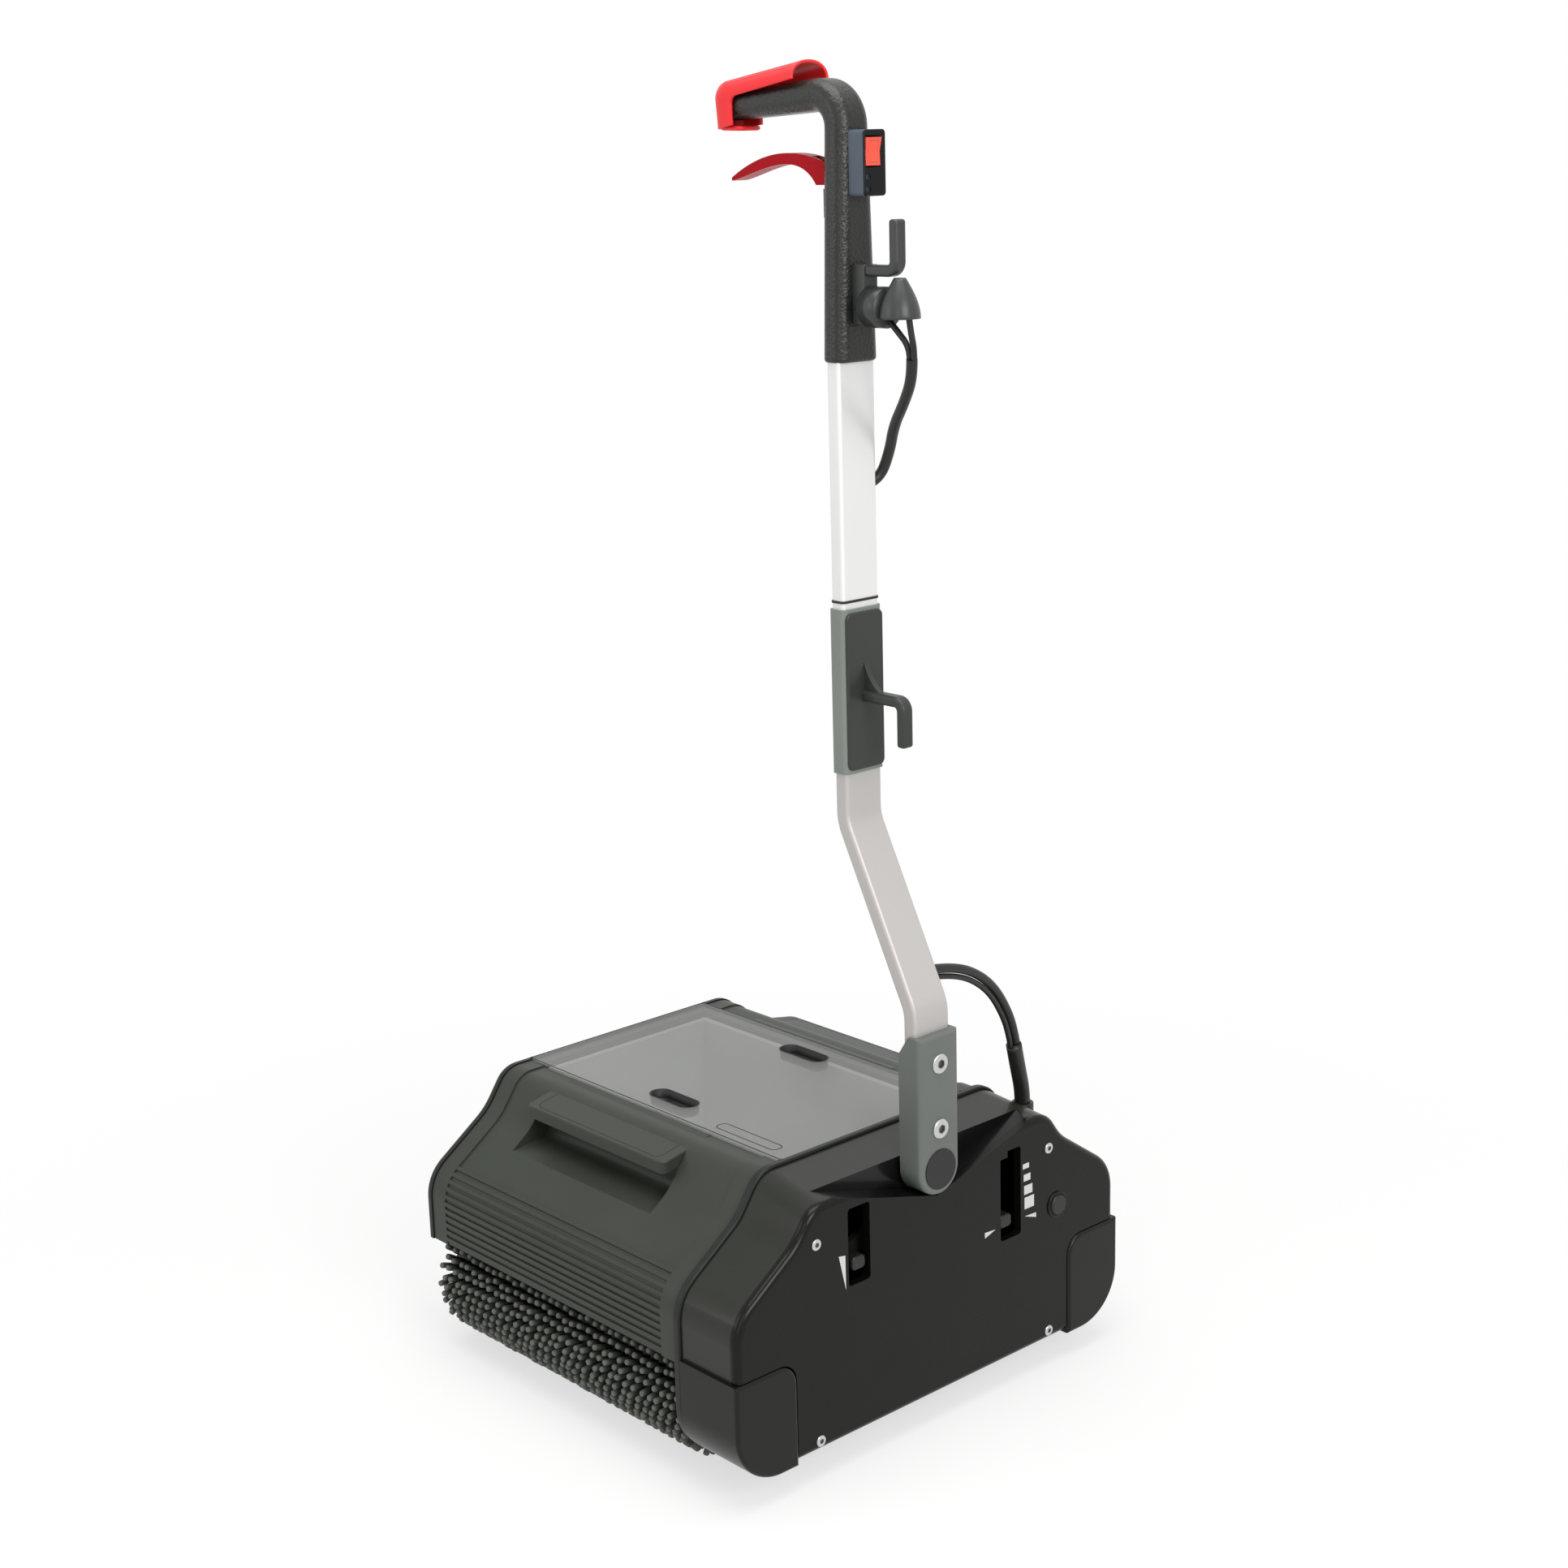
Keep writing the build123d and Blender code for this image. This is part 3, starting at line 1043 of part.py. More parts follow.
def pivot_bracket():
    """Handle foot: round at the pivot, socketed for the tube and wedged off at its inner top."""
    face = Pos(0, PIVOT_Z) * Circle(BRACKET_HALF)
    face += side_rect(-BRACKET_HALF, BRACKET_HALF, PIVOT_Z, BRACKET_TOP_Z)
    foot = slab(face, x_bracket, x_bracket_out)
    foot = fillet(outer_edges(foot), BRACKET_ROUND)
    wedge_low = BRACKET_TOP_Z - BRACKET_WEDGE
    wedge_x = x_bracket + BRACKET_WEDGE * 0.7
    wedge = Polygon(
        (x_bracket - 1, wedge_low), (x_bracket, wedge_low), (wedge_x, BRACKET_TOP_Z + 1),
        (x_bracket - 1, BRACKET_TOP_Z + 1), align=None,
    )
    foot -= front_slab(wedge, BRACKET_HALF + 1, -BRACKET_HALF - 1)
    half = TUBE_WIDTH / 2 + SEAT_CLEARANCE
    depth = TUBE_DEPTH / 2 + SEAT_CLEARANCE
    foot -= block(x_lower_tube - depth, x_lower_tube + depth, -half, half, SOCKET_FLOOR_Z, BRACKET_TOP_Z + 1)
    foot -= rod_x(PIVOT_RADIUS + RUN_CLEARANCE, x_bracket - 1, x_bracket_out, 0, PIVOT_Z)
    foot -= rod_x(CAP_RADIUS + SEAT_CLEARANCE, x_bracket_out - CAP_DEPTH, x_bracket_out + 1, 0, PIVOT_Z)
    for z in BRACKET_SCREWS_Z:
        foot -= rod_x(SCREW_SHANK_RADIUS + SEAT_CLEARANCE, x_bracket + SOCKET_WALL, x_bracket_out, 0, z)
        head_radius = SCREW_HEAD_RADIUS + SEAT_CLEARANCE
        foot -= rod_x(head_radius, x_bracket_out - SOCKET_WALL, x_bracket_out + 1, 0, z)
    return foot


def pivot_cap():
    """Round cap that closes the bracket's pivot bore."""
    cap = rod_x(CAP_RADIUS, x_bracket_out - CAP_DEPTH, x_bracket_out + 1, 0, PIVOT_Z)
    return fillet(outer_edges(cap), PANEL_GAP)


def bracket_screws():
    """Two large screws that hold the tube in the bracket."""
    screws = []
    for z in BRACKET_SCREWS_Z:
        head = rod_x(SCREW_HEAD_RADIUS, x_bracket_out - SOCKET_WALL, x_bracket_out + PANEL_GAP, 0, z)
        end_x = x_lower_tube - TUBE_DEPTH / 2
        screws.append(head + rod_x(SCREW_SHANK_RADIUS, end_x, x_bracket_out - SOCKET_WALL, 0, z))
    return Compound(children=screws)


def tube_face(inset):
    """Flat tube section, moved inwards by inset."""
    return RectangleRounded(TUBE_DEPTH - 2 * inset, TUBE_WIDTH - 2 * inset, TUBE_CORNER - inset)


def lower_tube():
    """Cranked flat tube from the bracket to the middle of the sleeve."""
    start = (x_lower_tube, 0, SOCKET_FLOOR_Z)
    path = FilletPolyline(
        start, (x_lower_tube, 0, CRANK_LOW_Z), (x_tube, 0, CRANK_HIGH_Z), (x_tube, 0, TUBE_JOIN_Z),
        radius=CRANK_RADIUS,
    )
    plane = Plane(origin=start, x_dir=(1, 0, 0), z_dir=(0, 0, 1))
    tube = sweep(plane * tube_face(0), path=path) - sweep(plane * tube_face(TUBE_WALL), path=path)
    for z in BRACKET_SCREWS_Z:
        end_x = x_lower_tube + TUBE_DEPTH
        tube -= rod_x(SCREW_SHANK_RADIUS + SEAT_CLEARANCE, x_lower_tube - TUBE_DEPTH, end_x, 0, z)
    lead_z = CABLE_EXIT_Z + LEAD_OFFSET
    control_z = CABLE_EXIT_Z - CONTROL_OFFSET
    tube -= rod_y(LEAD_RADIUS + SLOT_CLEARANCE, 0, TUBE_WIDTH, cable_exit_x, lead_z)
    return tube - rod_y(CONTROL_RADIUS + SLOT_CLEARANCE, 0, TUBE_WIDTH, cable_exit_x, control_z)


def upper_tube():
    """Straight flat tube from the sleeve into the grip."""
    plane = Plane(origin=(x_tube, 0, TUBE_JOIN_Z))
    tube = extrude(plane * (tube_face(0) - tube_face(TUBE_WALL)), amount=UPPER_TUBE_TOP_Z - TUBE_JOIN_Z)
    return tube - rod_y(UPPER_CABLE_RADIUS + 1, 0, TUBE_WIDTH, x_tube, entry_z)


def collar(z0, z1, wall):
    """Close collar round the flat tube."""
    outer = RectangleRounded(TUBE_DEPTH + 2 * wall, TUBE_WIDTH + 2 * wall, TUBE_CORNER + wall)
    inner = RectangleRounded(
        TUBE_DEPTH + 2 * SEAT_CLEARANCE, TUBE_WIDTH + 2 * SEAT_CLEARANCE, TUBE_CORNER + SEAT_CLEARANCE
    )
    return extrude(Plane(origin=(x_tube, 0, z0)) * (outer - inner), amount=z1 - z0)


def hook_plate():
    """Cover plate on the sleeve with a round-cornered hook that turns down, on a thin gusset."""
    plate_height = SLEEVE_HIGH_Z - SLEEVE_LOW_Z - 2 * HOUSING_WALL
    plate_face = Pos(0, (SLEEVE_LOW_Z + SLEEVE_HIGH_Z) / 2) * RectangleRounded(
        TUBE_WIDTH, plate_height, HOOK_CORNER
    )
    plate = slab(plate_face, hook_x, hook_x + HOOK_PLATE)
    plate = fillet(outer_edges(plate), HOOK_PLATE / 2)
    root = (hook_x + HOOK_PLATE / 2, 0, HOOK_Z)
    prong_x = hook_x + HOOK_REACH - HOOK_BAR / 2
    hook = round_hook(root, prong_x, HOOK_Z - HOOK_DROP, HOOK_BAR)
    toe = (hook_x + 0.6 * HOOK_REACH, HOOK_Z)
    crown = (hook_x + HOOK_PLATE / 2, HOOK_Z + GUSSET_RISE)
    heel = (hook_x + HOOK_PLATE / 2, HOOK_Z)
    hollow = ThreePointArc(toe, (hook_x + 0.2 * HOOK_REACH, HOOK_Z + 0.34 * GUSSET_RISE), crown)
    web = front_slab(make_face([Line(heel, toe), hollow, Line(crown, heel)]), GUSSET_HALF, -GUSSET_HALF)
    return plate + hook + web


def round_hook(root, prong_x, tip_z, thickness):
    """Bar of rounded section that runs out along X from its root and bends to an upright prong."""
    path = FilletPolyline(root, (prong_x, 0, root[2]), (prong_x, 0, tip_z), radius=HOOK_BEND)
    section = Plane(origin=root, x_dir=(0, 1, 0), z_dir=(1, 0, 0))
    bar = sweep(section * RectangleRounded(HOOK_WIDTH, thickness, thickness / 3), path=path)
    tip = bar.faces().sort_by_distance((prong_x, 0, tip_z))[0]
    return fillet(tip.edges(), 0.28 * thickness)


def grip_section(depth, width):
    """Rounded grip section, with depth along sketch x and width along sketch y."""
    return RectangleRounded(depth, width, 0.42 * depth)


def arm_plane(distance):
    """Section plane on the arm's centre line, a distance beyond the bend: sketch x is up."""
    tilt = math.radians(ARM_TILT)
    away = Vector(-math.cos(tilt), 0, -math.sin(tilt))
    up = Vector(-math.sin(tilt), 0, math.cos(tilt))
    centre = Vector(bend_x, 0, BEND_Z) + up * BEND_RADIUS + away * distance
    return Plane(origin=centre, x_dir=up, z_dir=away)


def grip():
    """Moulded handle: a tapered upright, a round bend and a tilted arm with a hinge tongue at its end."""
    low = Plane(origin=(x_tube, 0, GRIP_LOW_Z)) * grip_section(GRIP_DEPTH, GRIP_WIDTH_LOW)
    high = Plane(origin=(x_tube, 0, BEND_Z)) * grip_section(GRIP_DEPTH, GRIP_WIDTH)
    upright = loft([low, high], ruled=True)
    upright = fillet(upright.faces().sort_by(Axis.Z)[0].edges(), HOUSING_WALL)
    bend = revolve(high, axis=Axis((bend_x, 0, BEND_Z), (0, -1, 0)), revolution_arc=90 + ARM_TILT)
    near = arm_plane(0) * grip_section(GRIP_DEPTH, GRIP_WIDTH)
    far = arm_plane(ARM_LENGTH) * grip_section(ARM_END_DEPTH, ARM_END_WIDTH)
    arm = loft([near, far], ruled=True)
    arm = fillet(arm.faces().sort_by(Axis.X)[0].edges(), TONGUE_REACH / 2)
    tongue_low = arm_plane(ARM_LENGTH - TONGUE_REACH) * Rectangle(2 * TONGUE_RADIUS, TONGUE_WIDTH)
    tongue = extrude(tongue_low, amount=2 * TONGUE_REACH)
    knuckle = rod_y(TONGUE_RADIUS, -TONGUE_WIDTH / 2, TONGUE_WIDTH / 2, bar_pin.X, bar_pin.Z)
    body = upright + bend + arm + tongue + knuckle
    half = TUBE_WIDTH / 2 + SEAT_CLEARANCE
    depth = TUBE_DEPTH / 2 + SEAT_CLEARANCE
    body -= block(x_tube - depth, x_tube + depth, -half, half, GRIP_LOW_Z - 1, UPPER_TUBE_TOP_Z + PANEL_GAP)
    return body - rod_y(PIN_RADIUS + SEAT_CLEARANCE, -GRIP_WIDTH, GRIP_WIDTH, bar_pin.X, bar_pin.Z)


def bar_section(distance, rise, width):
    """Arched strip section of the dead-man bar, with its ridge standing rise above the arm's centre line."""
    foot = rise - BAR_ARCH
    half = width / 2
    outer = ThreePointArc((foot, -half), (rise, 0), (foot, half))
    inner_half = half - BAR_WALL
    inner = ThreePointArc((foot, -inner_half), (rise - BAR_WALL, 0), (foot, inner_half))
    feet = [Line(outer @ 0, inner @ 0), Line(outer @ 1, inner @ 1)]
    return arm_plane(distance) * make_face([outer, inner] + feet)


def deadman_bar():
    """Arched red bar over the arm, hinged at the arm's end, which it wraps and hooks under."""
    strip = loft(
        [
            bar_section(ARM_LENGTH + TONGUE_REACH, BAR_END_RISE, BAR_END_WIDTH),
            bar_section(BAR_START, BAR_RISE, BAR_WIDTH),
        ],
        ruled=True,
    )
    reach = TONGUE_REACH
    top = BAR_END_RISE - BAR_WALL / 2
    low = -ARM_END_DEPTH / 2 - BAR_LIP_GAP
    profile = Polygon(
        (top, -reach), (top, 0.9 * reach), (0.7 * top, 2.2 * reach), (0.2 * top, 2.5 * reach),
        (low, 2.0 * reach), (low - BAR_WALL, 1.4 * reach), (low - BAR_WALL, -2.0 * reach),
        (low, -2.0 * reach), (low, -BAR_LIP_GAP), (low + BAR_LIP_GAP, BAR_BLOCK_GAP),
        (ARM_END_DEPTH / 2 + BAR_LIP_GAP, BAR_BLOCK_GAP),
        (ARM_END_DEPTH / 2 + BAR_LIP_GAP, -reach), align=None,
    )
    profile = fillet(profile.vertices().sort_by(Axis.Y)[-4:], HOUSING_WALL)
    end = arm_plane(ARM_LENGTH)
    side = Plane(origin=end.origin, x_dir=end.x_dir, z_dir=(0, -1, 0))
    hook = extrude(side * profile, amount=BAR_END_WIDTH / 2, both=True)
    flanks = hook.faces().sort_by(Axis.Y)
    hook = fillet(flanks[0].edges() + flanks[-1].edges(), BAR_WALL / 3)
    slot_half = TONGUE_WIDTH / 2 + PANEL_GAP
    slot = arm_plane(ARM_LENGTH - TONGUE_REACH) * Rectangle(2 * TONGUE_RADIUS + TONGUE_REACH, 2 * slot_half)
    hook -= extrude(slot, amount=3.2 * TONGUE_REACH)
    bore_half = BAR_END_WIDTH / 2 - PIN_COVER + PANEL_GAP
    return strip + hook - rod_y(PIN_RADIUS + RUN_CLEARANCE, -bore_half, bore_half, bar_pin.X, bar_pin.Z)


def lever_clevis():
    """Lug on the back of the grip that the dosing lever straddles, with a stop plate below it."""
    stop_top = LEVER_Z - CLEVIS_HALF - STOP_GAP
    lug_low = LEVER_Z - CLEVIS_HALF
    lug_top = LEVER_Z + CLEVIS_HALF
    lug = block(lever_pin_x - CLEVIS_NOSE, grip_back, -LUG_HALF, LUG_HALF, lug_low, lug_top)
    nose = lug.faces().sort_by(Axis.X)[0]
    lug = fillet(nose.edges().filter_by(Axis.Y), LUG_HALF)
    stop_x = grip_back - STOP_DEPTH
    lug += block(stop_x, grip_back, -LUG_HALF, LUG_HALF, stop_top - STOP_GAP, lug_top - LUG_HALF)
    half = LEVER_WIDTH / 2
    lug += block(stop_x, grip_back, -half, half, stop_top - STOP_HEIGHT, stop_top)
    return lug - rod_y(PIN_RADIUS + SEAT_CLEARANCE, -GRIP_WIDTH, GRIP_WIDTH, lever_pin_x, LEVER_Z)


def dosing_lever():
    """Curved dark red blade that swings up towards the arm when it is squeezed."""
    root_x = grip_back - LEVER_BACK_GAP
    spine = Spline(
        (root_x, LEVER_Z + 0.30 * LEVER_WIDTH), (root_x - 0.45 * LEVER_REACH, LEVER_Z + 0.85 * LEVER_WIDTH),
        (root_x - LEVER_REACH, LEVER_Z - 0.25 * LEVER_WIDTH),
    )
    belly = Spline(
        (root_x - LEVER_REACH, LEVER_Z - 0.45 * LEVER_WIDTH),
        (root_x - 0.55 * LEVER_REACH, LEVER_Z + 0.25 * LEVER_WIDTH),
        (root_x - 0.22 * LEVER_REACH, LEVER_Z),
        (root_x - 0.11 * LEVER_REACH, LEVER_Z - 0.70 * LEVER_WIDTH),
    )
    heel = (root_x, LEVER_Z - 0.70 * LEVER_WIDTH)
    edges = [spine, Line(spine @ 1, belly @ 0), belly, Line(belly @ 1, heel), Line(heel, spine @ 0)]
    blade = front_slab(make_face(edges), LEVER_WIDTH / 2, -LEVER_WIDTH / 2)
    flanks = blade.faces().sort_by(Axis.Y)
    spine_edges = [flank.edges().sort_by(SortBy.LENGTH)[-1] for flank in (flanks[0], flanks[-1])]
    blade = fillet(spine_edges, BLADE_ROUND)
    fork_half = LUG_HALF + PANEL_GAP
    fork_low = LEVER_Z - 2 * LEVER_WIDTH
    fork_top = LEVER_Z + 2 * LEVER_WIDTH
    blade -= block(lever_pin_x - FORK_REACH, grip_back, -fork_half, fork_half, fork_low, fork_top)
    bore_half = LEVER_WIDTH / 2 - BLADE_ROUND
    return blade - rod_y(PIN_RADIUS + RUN_CLEARANCE, -bore_half, bore_half, lever_pin_x, LEVER_Z)


def lever_pins():
    """Hinge pins of the dead-man bar and of the dosing lever."""
    half = LEVER_WIDTH / 2 - BLADE_ROUND - PANEL_GAP
    bar_half = BAR_END_WIDTH / 2 - PIN_COVER
    pins = [rod_y(PIN_RADIUS, -bar_half, bar_half, bar_pin.X, bar_pin.Z)]
    pins.append(rod_y(PIN_RADIUS, -half, half, lever_pin_x, LEVER_Z))
    return Compound(children=pins)


def switch_box():
    """Rounded switch housing on the front of the grip with the rocker's well and two small sockets."""
    low_y = SWITCH_Y - SWITCH_WIDTH / 2
    low_z = SWITCH_Z - SWITCH_HEIGHT / 2
    box = block(
        grip_face, grip_face + SWITCH_DEPTH, low_y, low_y + SWITCH_WIDTH, low_z, low_z + SWITCH_HEIGHT
    )
    box = fillet(box.edges().filter_by(Axis.X), HOUSING_WALL)
    box = fillet(outer_edges(box), HOUSING_WALL / 2)
    well_width = ROCKER_WIDTH + 2 * PANEL_GAP
    well = Pos(rocker_y, ROCKER_Z) * Rectangle(well_width, ROCKER_HEIGHT + 2 * ROCKER_END_GAP)
    box -= slab(well, rocker_x - ROCKER_SINK, grip_face + SWITCH_DEPTH + 1)
    pin_reach = ROCKER_WIDTH / 2 + TRUNNION_LENGTH + PANEL_GAP
    pin_bore = PIN_RADIUS + RUN_CLEARANCE
    box -= rod_y(pin_bore, rocker_y - pin_reach, rocker_y + pin_reach, rocker_x, ROCKER_Z)
    for drop in (ROCKER_HEIGHT * 0.9, ROCKER_HEIGHT * 1.33):
        socket = rod_x(
            PIN_RADIUS, grip_face + SWITCH_DEPTH - HOUSING_WALL, grip_face + SWITCH_DEPTH + 1,
            rocker_y - ROCKER_WIDTH / 3, ROCKER_Z - drop,
        )
        box -= socket
    return box


def rocker_switch():
    """Rocker with a shallow V front and two short trunnions."""
    half = ROCKER_HEIGHT / 2
    face_x = grip_face + SWITCH_DEPTH
    low_x = rocker_x - ROCKER_SINK + half * math.sin(math.radians(ROCKER_TURN)) + PANEL_GAP
    profile = Polygon(
        (low_x, ROCKER_Z - half), (face_x + 0.5, ROCKER_Z - half), (face_x, ROCKER_Z),
        (face_x + 2.5, ROCKER_Z + half), (low_x, ROCKER_Z + half), align=None,
    )
    body = front_slab(profile, rocker_y + ROCKER_WIDTH / 2, rocker_y - ROCKER_WIDTH / 2)
    pin_half = ROCKER_WIDTH / 2 + TRUNNION_LENGTH
    return body + rod_y(PIN_RADIUS, rocker_y - pin_half, rocker_y + pin_half, rocker_x, ROCKER_Z)


def hook_bracket():
    """Upper cable hook: a base on the grip and a round-cornered arm that turns up."""
    base_x = grip_face + HOOK_BASE_DEPTH
    half = HOOK_BASE_WIDTH / 2
    base = block(grip_face, base_x, -half, half, PRONG_Z - HOOK_BASE_DROP, PRONG_Z + HOOK_ARM / 2)
    base = fillet(outer_edges(base), HOUSING_WALL / 2)
    prong_x = grip_face + PRONG_REACH - HOOK_ARM / 2
    root = (grip_face + HOOK_BASE_DEPTH / 2, 0, PRONG_Z)
    return base + round_hook(root, prong_x, PRONG_Z + PRONG_RISE, HOOK_ARM)


def cable_bell():
    """Cable outlet under the hook: a short drum from the base and a flared bell that points down."""
    drum = rod_x(DRUM_RADIUS, grip_face + HOOK_BASE_DEPTH, bell_x - 0.8 * DRUM_RADIUS, 0, DRUM_Z)
    top_z = PRONG_Z - HOOK_ARM / 2 - 2 * PANEL_GAP
    crown = (bell_x + 0.36 * DRUM_RADIUS, top_z)
    waist = (bell_x + 0.54 * DRUM_RADIUS, 0.5 * (top_z + bell_low_z))
    flare = ThreePointArc(crown, waist, (bell_x + DRUM_RADIUS, bell_low_z))
    ends = [Line((bell_x, top_z), flare @ 0), Line(flare @ 1, (bell_x, bell_low_z))]
    ends.append(Line((bell_x, bell_low_z), (bell_x, top_z)))
    plane = Plane(origin=(0, 0, 0), x_dir=(1, 0, 0), z_dir=(0, -1, 0))
    return drum + revolve(plane * make_face([flare] + ends), axis=Axis((bell_x, 0, 0), (0, 0, 1)))


def cable(points, radius):
    """Cable of round section along straight runs joined by the largest tangent arcs that fit."""
    runs = [Vector(*b) - Vector(*a) for a, b in zip(points, points[1:])]
    radii = []
    for before, after in zip(runs, runs[1:]):
        half_turn = math.radians(before.get_angle(after)) / 2
        radii.append(0.45 * min(before.length, after.length) / math.tan(half_turn))
    path = FilletPolyline(*points, radius=radii)
    plane = Plane(origin=path @ 0, z_dir=path % 0)
    return sweep(plane * Circle(radius), path=path)


def arc_point(share_y, share_z, offset):
    """Point of the lower cable's bow, from the tube's side to the grommet, moved outwards by offset."""
    x = cable_exit_x + (grommet_x - cable_exit_x) * min(1, share_z / 0.92)
    y = cable_y0 + (grommet_y - cable_y0) * share_y
    z = CABLE_EXIT_Z + (GROMMET_TOP_Z - CABLE_EXIT_Z) * share_z
    lean = math.radians(90 * share_z ** 0.5)
    return (x, y + offset * math.sin(lean), z + offset * math.cos(lean))


def lower_leads():
    """Two cables that leave the tube side by side and end in the sleeve."""
    leads = []
    for offset, radius in ((LEAD_OFFSET, LEAD_RADIUS), (-CONTROL_OFFSET, CONTROL_RADIUS)):
        points = [arc_point(share_y, share_z, offset) for share_y, share_z in LEAD_BOW]
        leads.append(cable(points, radius) - lower_cable_sleeve())
    return Compound(children=leads)


def lower_cable_sleeve():
    """Thicker sleeve that takes both cables down into the grommet."""
    return cable([arc_point(share_y, share_z, 0) for share_y, share_z in SLEEVE_BOW], LOWER_SLEEVE_RADIUS)


def cable_grommet():
    """Upright grommet in the rear slope of the housing."""
    low_z = GROMMET_TOP_Z - GROMMET_LENGTH
    post = rod_z(GROMMET_RADIUS, low_z, GROMMET_TOP_Z, grommet_x, grommet_y)
    return fillet(outer_edges(post, Axis.Z), 1)


def upper_cable():
    """Cable from below the bell to the side of the upper tube."""
    return cable(upper_points, UPPER_CABLE_RADIUS)


def upper_leads():
    """Two thin leads that leave the bell and run together into the upper cable."""
    end = Vector(*upper_points[0])
    down = (Vector(*upper_points[1]) - end).normalized()
    across = Vector(0, 1, 0).cross(down).normalized()
    leads = []
    for side, root_x in ((-1, bell_x + 0.6 * DRUM_RADIUS), (1, bell_x - 0.9 * DRUM_RADIUS)):
        foot = end + across * (side * UPPER_LEAD_OFFSET)
        knee = foot - down * LEAD_KNEE
        shoulder = Vector((root_x + knee.X) / 2, knee.Y / 3, bell_low_z - 0.45 * (bell_low_z - knee.Z))
        root = Vector(root_x, 0, bell_low_z)
        route = [tuple(point) for point in (root, shoulder, knee, foot)]
        leads.append(cable(route, UPPER_LEAD_RADIUS) - cable_bell())
    return Compound(children=leads)


# Places on the grip
bar_pin = arm_plane(ARM_LENGTH + TONGUE_REACH).origin
lever_pin_x = grip_back - LEVER_PIN_SETBACK
rocker_y = SWITCH_Y - ROCKER_SHIFT
rocker_x = grip_face + SWITCH_DEPTH - ROCKER_SINK / 2
bell_x = grip_face + BELL_REACH
cable_y0 = TUBE_WIDTH / 2 - 1
entry_z = GRIP_LOW_Z - CABLE_ENTRY_DROP
bell_low_z = DRUM_Z - DRUM_RADIUS / 2
upper_points = [
    (bell_x + 6, 6, bell_low_z - 31),
    (bell_x + 3, 9, bell_low_z - 46),
    (bell_x - 12, 15, bell_low_z - 66),
    (bell_x - 32, 23, bell_low_z - 86),
    (x_tube + 11, TUBE_WIDTH / 2 + 11, entry_z + 25),
    (x_tube + 1, TUBE_WIDTH / 2 + 10, entry_z + 3),
    (x_tube, TUBE_WIDTH / 2 - 1, entry_z),
]


def export_all():
    """Build every sub-part and write it under its own name."""
    bumper = front_bumper()
    belt = front_belt()
    core = front_brush_core()
    tufts = front_brush_tufts()
    pulley = brush_pulley()
    axle = front_axle()
    wheels = front_wheels()
    tray = front_tray()
    shaft_bore = SHAFT_RADIUS + SEAT_CLEARANCE
    pieces = {
        "base_frame": base_frame(),
        "left_side_plate": left_side_plate(),
        "right_inner_plate": right_inner_plate(),
        "drive_housing": drive_housing(),
        "side_cover": side_cover(),
        "front_bumper": bumper,
        "rear_bumper": rear_copy(bumper),
        "cover_screws": cover_screws(),
        "solution_tank": solution_tank(),
        "drip_manifold": drip_manifold(),
        "dosing_valve": dosing_valve(),
        "motor": motor(),
        "gear_bridge": gear_bridge(),
        "front_belt": belt,
        "rear_belt": rear_copy(belt),
        "brush_bushes": brush_bushes(),
        "handle_pivot_shaft": handle_pivot_shaft(),
        "breaker_body": breaker_body(),
        "cable_grommet": cable_grommet(),
        "motor_shaft": motor_shaft(),
        "motor_pulley": ring_pulley(DRIVE_PULLEY_RADIUS, shaft_bore, -gear_radius, MOTOR_Z),
        "layshaft": layshaft(),
        "front_brush_core": core,
        "front_brush_tufts": tufts,
        "front_brush_pulley": pulley,
        "rear_brush_core": rear_copy(core),
        "rear_brush_tufts": rear_copy(tufts),
        "rear_brush_pulley": rear_copy(pulley),
        "wheel_carriage": wheel_carriage(),
        "front_axle": axle,
        "front_wheels": wheels,
        "rear_axle": rear_copy(axle),
        "rear_wheels": rear_copy(wheels),
        "height_lever": height_lever(),
        "mop_lever": mop_lever(),
        "breaker_button": breaker_button(),
        "lid": lid(),
        "front_tray": tray,
        "rear_tray": rear_copy(tray),
        "pivot_bracket": pivot_bracket(),
        "pivot_cap": pivot_cap(),
        "bracket_screws": bracket_screws(),
        "lower_tube": lower_tube(),
        "upper_tube": upper_tube(),
        "tube_sleeve": collar(SLEEVE_LOW_Z, SLEEVE_HIGH_Z, SLEEVE_WALL),
        "hook_plate": hook_plate(),
        "tube_band": collar(BAND_Z, BAND_Z + BAND_HEIGHT, BAND_WALL),
        "grip": grip(),
        "switch_box": switch_box(),
        "hook_bracket": hook_bracket(),
        "cable_bell": cable_bell(),
        "upper_cable": upper_cable(),
        "upper_leads": upper_leads(),
        "lever_clevis": lever_clevis(),
        "lever_pins": lever_pins(),
        "deadman_bar": deadman_bar(),
        "dosing_lever": dosing_lever(),
        "rocker_switch": rocker_switch(),
        "lower_leads": lower_leads(),
        "lower_cable_sleeve": lower_cable_sleeve(),
    }
    for name, solid in pieces.items():
        solid.label = name
        export_step(solid, f"parts/{name}.step")


os.makedirs("parts", exist_ok=True)
export_all()
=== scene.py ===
# %% [markdown]
# # A twin-brush floor scrubber, dressed
# The solids of the machine come ready made, each piece in its place and at its real size.
# This lesson gives them their finishes, and makes the pieces that a solid can only hint at:
# the bristles of the brushes, the cables, the red bar's hood, the cable outlet, the screw heads, the printed
# marks, the moulded lines and the finger cups.
# Everything is in metres, in the frame of the solids, so a new piece goes where the solids say.

